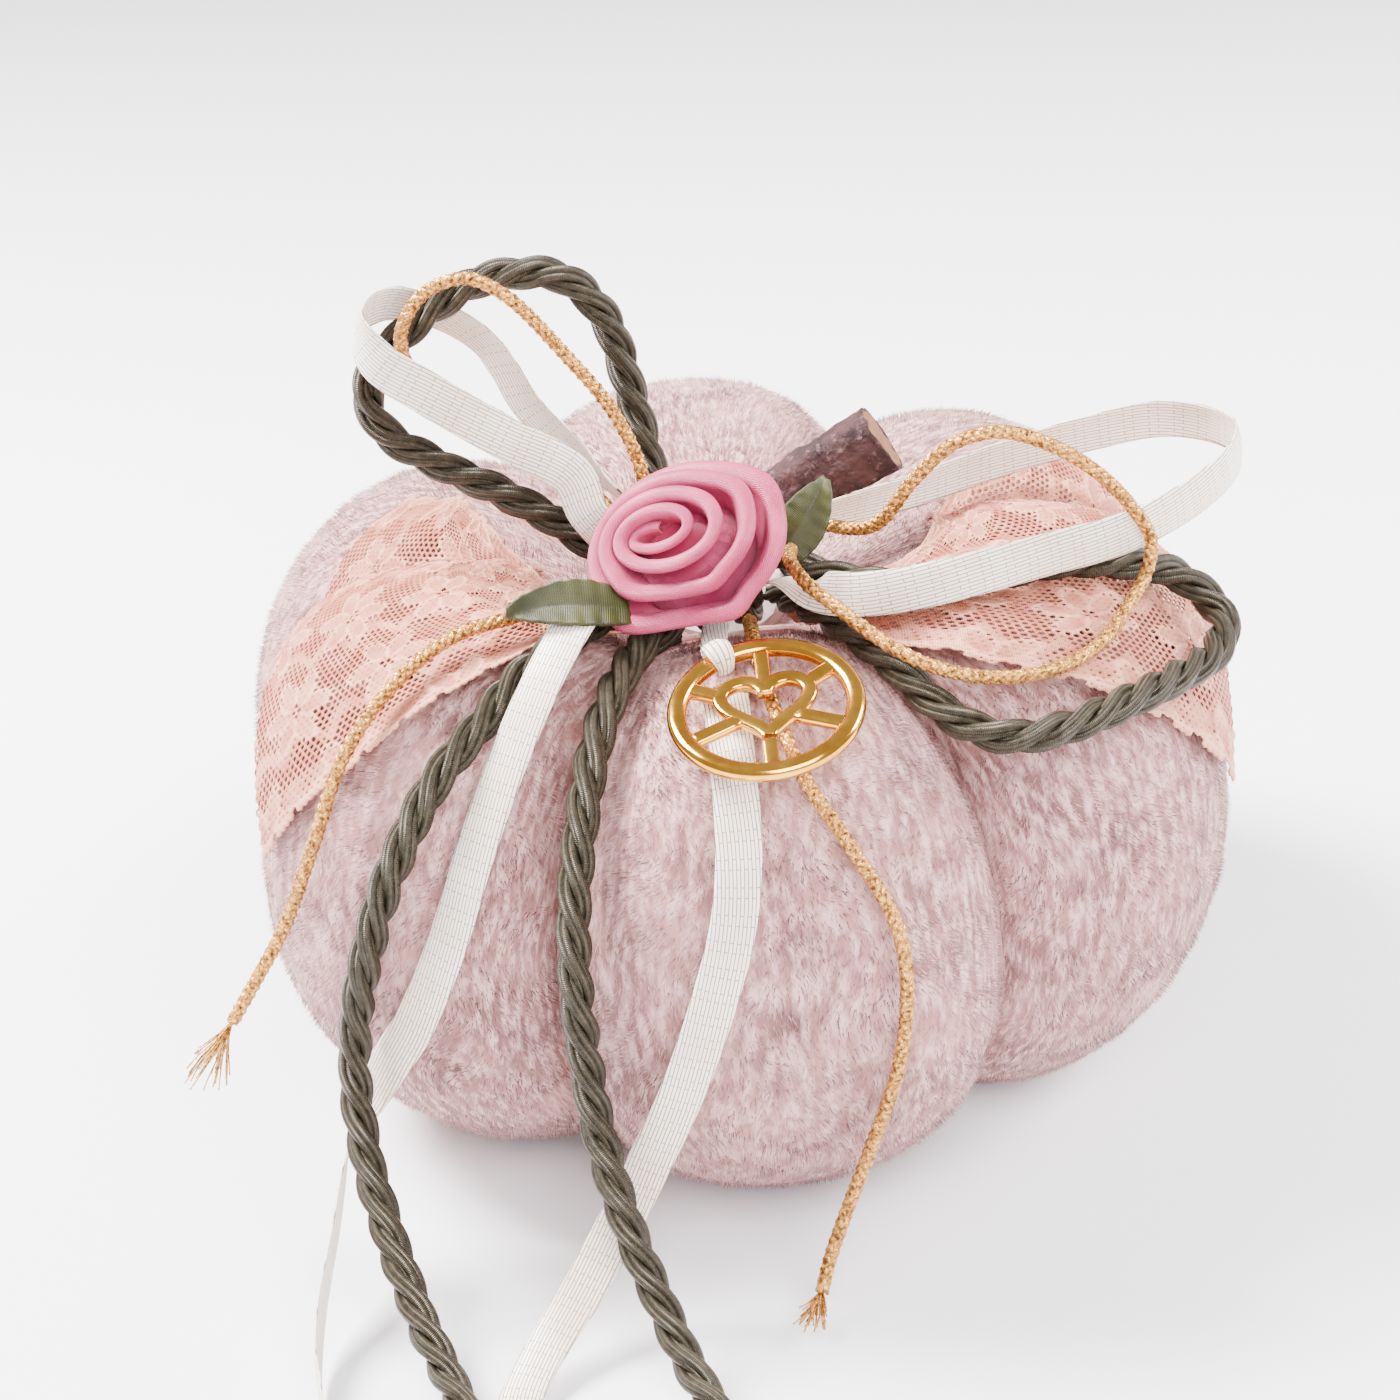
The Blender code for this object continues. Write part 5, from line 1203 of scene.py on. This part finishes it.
ribbon_leaf("folded_leaf_left", "rose_leaf_left", base=(-12.6, -35.0, 85.9), tip=(-28.0, -37.4, 87.9),
            facing=(-0.1, -0.5, 0.85))
ribbon_leaf("folded_leaf_right", "rose_leaf_right", base=(7.6, -22.3, 85.2), tip=(14.8, -18.0, 94.2),
            facing=(0.3, -0.8, 0.5))

# %% [markdown]
# ## The twig stem
# The stem is a real twig, sawn across. Bark is ridged along the twig and flaking, so its rings are pushed
# in and out by ripples, and the sawn face is a set of shrinking rings, marked by an attribute so that one
# material can be bark on the side and pale wood on the end.

# %% Bark and sawn wood, with the twig's foot and length in millimetres
TWIG_FOOT, TWIG_LENGTH, TWIG_TILT = np.array([-2.0, 3.0, 73.2]), 31, math.radians(32)


def bark_finish():
    """Flaking bark on the side, and ringed wood where the sawn attribute is 1."""
    made, tree, shader, places = new_finish("twig_bark", 0.75, sockets={"Specular IOR Level": 0.25})
    sawn = node(tree, "ShaderNodeAttribute", attribute_name="sawn").outputs["Fac"]
    bark = use(tree, MOTTLE, {"Vector": places["Object"], "Color": (0.014, 0.005, 0.006, 1),
                              "Other": (0.07, 0.026, 0.024, 1), "Scale": 330.0, "Detail": 6.0})
    flakes = use(tree, MOTTLE, {"Vector": places["Object"], "Color": (0, 0, 0, 1), "Other": (1, 1, 1, 1),
                                "Scale": 620.0, "Detail": 4.0})
    flaky = node(tree, "ShaderNodeMapRange", {"Value": flakes["Mask"], "From Min": 0.70, "From Max": 1.0})
    side = blended(tree, flaky.outputs["Result"], bark["Color"], (0.13, 0.07, 0.068, 1))
    rings = node(tree, "ShaderNodeTexNoise", {"Vector": places["Object"], "Scale": 420.0, "Detail": 5.0})
    wood = blended(tree, rings.outputs["Fac"], (0.36, 0.17, 0.085, 1), (0.10, 0.04, 0.02, 1))
    colour(tree, shader, blended(tree, sawn, side, wood))
    relief(tree, shader, flakes["Mask"], 0.35 * MM, 0.8)
    return made


def twig():
    """Rings along a slightly bent line, from the foot to the sawn tip, then seven rings that shrink to the
    middle of the cut. The radius swells to the tip and is shaken by ridges and ripples."""
    axis = unit((math.cos(TWIG_TILT), 0.04, math.sin(TWIG_TILT)))
    side = unit(np.cross(axis, (0, 1, 0)))
    lift = np.cross(side, axis)
    share = np.concatenate([np.linspace(0, 1, 70), np.ones(7)])
    shrink = np.concatenate([np.ones(70), (0.93, 0.84, 0.66, 0.45, 0.25, 0.08, 0.01)])
    turn = np.linspace(0, 2 * math.pi, 64, endpoint=False)
    radius = (3.6 + 1.55 * share ** 1.3)[:, None] * (1 + 0.05 * np.sin(3 * turn + 4 * share[:, None])
                                                      + 0.02 * np.sin(7 * turn))
    middle = TWIG_FOOT + axis * TWIG_LENGTH * share[:, None] + side * 0.8 * np.sin(math.pi * share)[:, None]
    out = side * np.cos(turn)[:, None] + lift * np.sin(turn)[:, None]
    points = (middle[:, None] + out * radius[..., None]) * MM
    rough = 0.32 * ripple(points, 5 * MM, 31) + 0.2 * ripple(points, 1.7 * MM, 32)
    points = (middle[:, None] + out * ((radius + rough) * shrink[:, None])[..., None]) * MM
    cut = (shrink < 1)[:, None] * (0.3 * ripple(points, 3 * MM, 33) - 0.35 * (shrink < 0.7)[:, None]) * MM
    points = points + axis * cut[..., None]
    sawn = np.repeat((shrink < 0.90).astype(float), 64)
    return surface(points, around=True, caps=True), sawn


TWIG, SAWN = twig()
BARK_FINISH = bark_finish()
settle(make_piece("twig_stem", [TWIG], BARK_FINISH, {"sawn": SAWN}), "pillow", "twig_bark", "stem")

# %% [markdown]
# ## The bow's knot
# Under the rose the strands cross and are drawn tight. Most of it is hidden, so three turns of the same
# rope round the knot's middle are enough.

# %% Three turns of rope
def ring_path(middle, half_deep, half_high, steps=40):
    """An upright ellipse across the bow, in the plane of depth and height."""
    turn = np.linspace(0, 2 * math.pi, steps)
    flat = np.stack([0 * turn, half_deep * np.cos(turn), half_high * np.sin(turn)], 1)
    return (np.array(middle) + flat) * MM


KNOT_MIDDLE = np.array([-2, -18, 78.8])
knot_parts = []
for offset, deep, high in ((-5.4, 3.3, 3.0), (0.0, 4.0, 3.5), (5.4, 3.3, 3.0)):
    ring = ring_path(KNOT_MIDDLE + (offset, 0, 0), deep, high)
    knot_parts += twisted_rope(ring, 4.9 * MM, 12 * MM, sides=6)
settle(make_piece("rope_turns", knot_parts, ROPE_FINISH), "pillow", "sage_rope", "bow_knot")

# %% [markdown]
# ## The charm
# The charm is cast and polished: a round rim, an open heart inside it and six flat bars. Every part is a
# rounded slab carried along a line, because a sharp edge on bright metal looks like paper. It is made in
# the charm's own plane and then turned, and it rides on the charm's body, so it swings with it.

# %% Polished gold, and the charm in its own plane
def polished_gold():
    """Bright gold whose tint and polish vary a little."""
    made, tree, shader, places = new_finish("polished_yellow_gold", 0.14, metallic=1.0)
    wear = use(tree, MOTTLE, {"Vector": places["Object"], "Color": (0.68, 0.29, 0.022, 1),
                              "Other": (0.84, 0.45, 0.065, 1), "Scale": 140.0, "Detail": 4.0})
    colour(tree, shader, wear["Color"])
    rougher(tree, shader, wear["Mask"], 0.09, 0.2)
    relief(tree, shader, wear["Mask"], 0.02 * MM, 0.4)
    return made


RIM_RADIUS, HEART_SCALE = 11.7 * MM, 0.368 * MM
CHARM_CENTRE = np.array([4.5, -56.3, 81.5]) * MM
CHARM_UP = unit((-math.sin(math.radians(3.5)), -math.sin(math.radians(13)), math.cos(math.radians(13))))
CHARM_RIGHT = unit(np.cross((0, 1, 0), CHARM_UP))
CHARM_BACK = np.cross(CHARM_UP, CHARM_RIGHT)


def rounded_slab(half_wide, half_high, power=4.0, steps=20):
    """A squared oval outline: cosine and sine to the power 2 / power, with their signs."""
    turn = np.linspace(0, 2 * math.pi, steps, endpoint=False)
    across, above = np.cos(turn), np.sin(turn)
    return np.stack([half_wide * np.sign(across) * np.abs(across) ** (2 / power),
                     half_high * np.sign(above) * np.abs(above) ** (2 / power)], 1)


def charm_line(flat, outline, closed=False):
    """Carry an outline along a flat line in the charm's plane, then turn it into place."""
    line = np.hstack([flat, np.zeros((len(flat), 1))])
    ahead = np.roll(line, -1, 0) - np.roll(line, 1, 0) if closed else np.gradient(line, axis=0)
    upright = np.array([0.0, 0, 1])
    side = unit(np.cross(upright, unit(ahead)))
    points, faces = swept(line, side, np.broadcast_to(upright, line.shape), outline, closed=closed)
    return CHARM_CENTRE + points @ np.stack([CHARM_RIGHT, CHARM_BACK, CHARM_UP]), faces


def cast_charm():
    """Rim: a circle. Heart: 16 sin cubed t, and 13 cos t - 5 cos 2t - 2 cos 3t - cos 4t + 2.5.
    Bars: spokes that reach the rim."""
    turn = np.linspace(0, 2 * math.pi, 144, endpoint=False)
    circle = np.stack([np.cos(turn), np.sin(turn)], 1)
    t = np.linspace(0, 2 * math.pi, 120, endpoint=False) + 0.026
    heart = np.stack([16 * np.sin(t) ** 3,
                      13 * np.cos(t) - 5 * np.cos(2 * t) - 2 * np.cos(3 * t) - np.cos(4 * t) + 2.5], 1)
    parts = [charm_line(circle * RIM_RADIUS, rounded_slab(1.3 * MM, 1.1 * MM, 2.4), closed=True),
             charm_line(heart * HEART_SCALE, rounded_slab(1.0 * MM, 0.72 * MM), closed=True)]
    for degrees, start in ((90, 3.2), (205, 3.7), (335, 3.7), (270, 5.4), (35, 6.2), (152, 6.2)):
        away = np.array([math.cos(math.radians(degrees)), math.sin(math.radians(degrees))])
        reach = np.linspace(start, 11.6, 6)[:, None] * MM
        parts.append(charm_line(away * reach, rounded_slab(1.05 * MM, 0.7 * MM)))
    return parts


GOLD_POLISH = polished_gold()
settle(make_piece("cast_charm", cast_charm(), GOLD_POLISH), "charm", "polished_gold", "charm")

# %% [markdown]
# ## The charm's tie
# A folded bight of the satin passes over the rim and holds the charm. It is thick and puffed, because
# the ribbon is squeezed into a hole narrower than itself.

# %% The puffed bight
def satin_bight():
    """A U over the rim: an arc of half a turn with two short legs. Its oval outline is pinched at the
    legs and puffed on top, with small gathers."""
    angle = math.radians(118)
    outward = CHARM_RIGHT * math.cos(angle) + CHARM_BACK * math.sin(angle)
    along = -CHARM_RIGHT * math.sin(angle) + CHARM_BACK * math.cos(angle)
    middle = CHARM_CENTRE + outward * 11.9 * MM
    turn = np.linspace(-0.45, math.pi + 0.45, 44)
    reach = 2.0 * MM
    path = middle + outward * (reach * np.cos(turn))[:, None] + CHARM_UP * (reach * np.sin(turn))[:, None]
    away = outward * np.cos(turn)[:, None] + CHARM_UP * np.sin(turn)[:, None]
    puff = np.clip(np.sin(turn), 0, 1)
    ring = np.linspace(0, 2 * math.pi, 28, endpoint=False)
    wide = (1.15 + 0.65 * puff)[:, None] * (1 + 0.06 * np.sin(9 * ring)) * MM
    thick = (0.42 + 0.28 * puff)[:, None] * (1 + 0.05 * np.sin(7 * ring + 1)) * MM
    outline = np.stack([wide * np.cos(ring), thick * np.sin(ring)], -1)
    uv = uv_grid(distance_along(path), ring.tolist() + [2 * math.pi])
    return swept(path, np.broadcast_to(along, path.shape), away, outline, uv * (1, MM))


settle(make_piece("satin_bight", [satin_bight()], SATIN_FINISH), "charm_tie", "ivory_satin", "charm_tie")

# %% [markdown]
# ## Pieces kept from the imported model
# The felt disc, the threads, the filling and the glue already have the right shape, so they keep their
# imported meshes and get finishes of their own. These have no UV map, so the patterns use Object places.

# %% Felt, thread, fibre and glue
def plain_finish(name, dark, light, scale, roughness, lift, **sockets):
    """Uneven colour and relief of one scale, for a small piece."""
    made, tree, shader, places = new_finish(name, roughness, sockets={
        key.replace("_", " ").title(): value for key, value in sockets.items()})
    uneven = use(tree, MOTTLE, {"Vector": places["Object"], "Color": dark, "Other": light,
                                "Scale": scale, "Detail": 5.0})
    colour(tree, shader, uneven["Color"])
    relief(tree, shader, uneven["Mask"], lift, 0.8)
    return made


FELT = plain_finish("pressed_felt", (0.62, 0.56, 0.46, 1), (0.80, 0.74, 0.64, 1), 1400.0, 0.95, 0.15 * MM)
THREAD = plain_finish("sewing_thread", (0.34, 0.14, 0.13, 1), (0.46, 0.22, 0.20, 1), 1800.0, 0.6, 0.1 * MM)
FIBRE = plain_finish("polyester_fibre", (0.80, 0.80, 0.80, 1), (0.95, 0.95, 0.95, 1), 500.0, 0.9, 0.4 * MM)
GLUE = plain_finish("hot_glue", (0.62, 0.58, 0.50, 1), (0.80, 0.78, 0.72, 1), 160.0, 0.22, 0.2 * MM,
                    coat_weight=0.4)
FINISHES = {"base_disc": FELT, "fibre_filling": FIBRE, "stem_glue": GLUE, "centre_thread": THREAD,
            "gather_thread_top": THREAD, "gather_thread_bottom": THREAD}
FINISHES.update({f"groove_thread_{index}": THREAD for index in range(1, LOBES + 1)})
for label, finish in FINISHES.items():
    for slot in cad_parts[label].material_slots:
        slot.material = finish
print("kept pieces finished:", len(FINISHES))
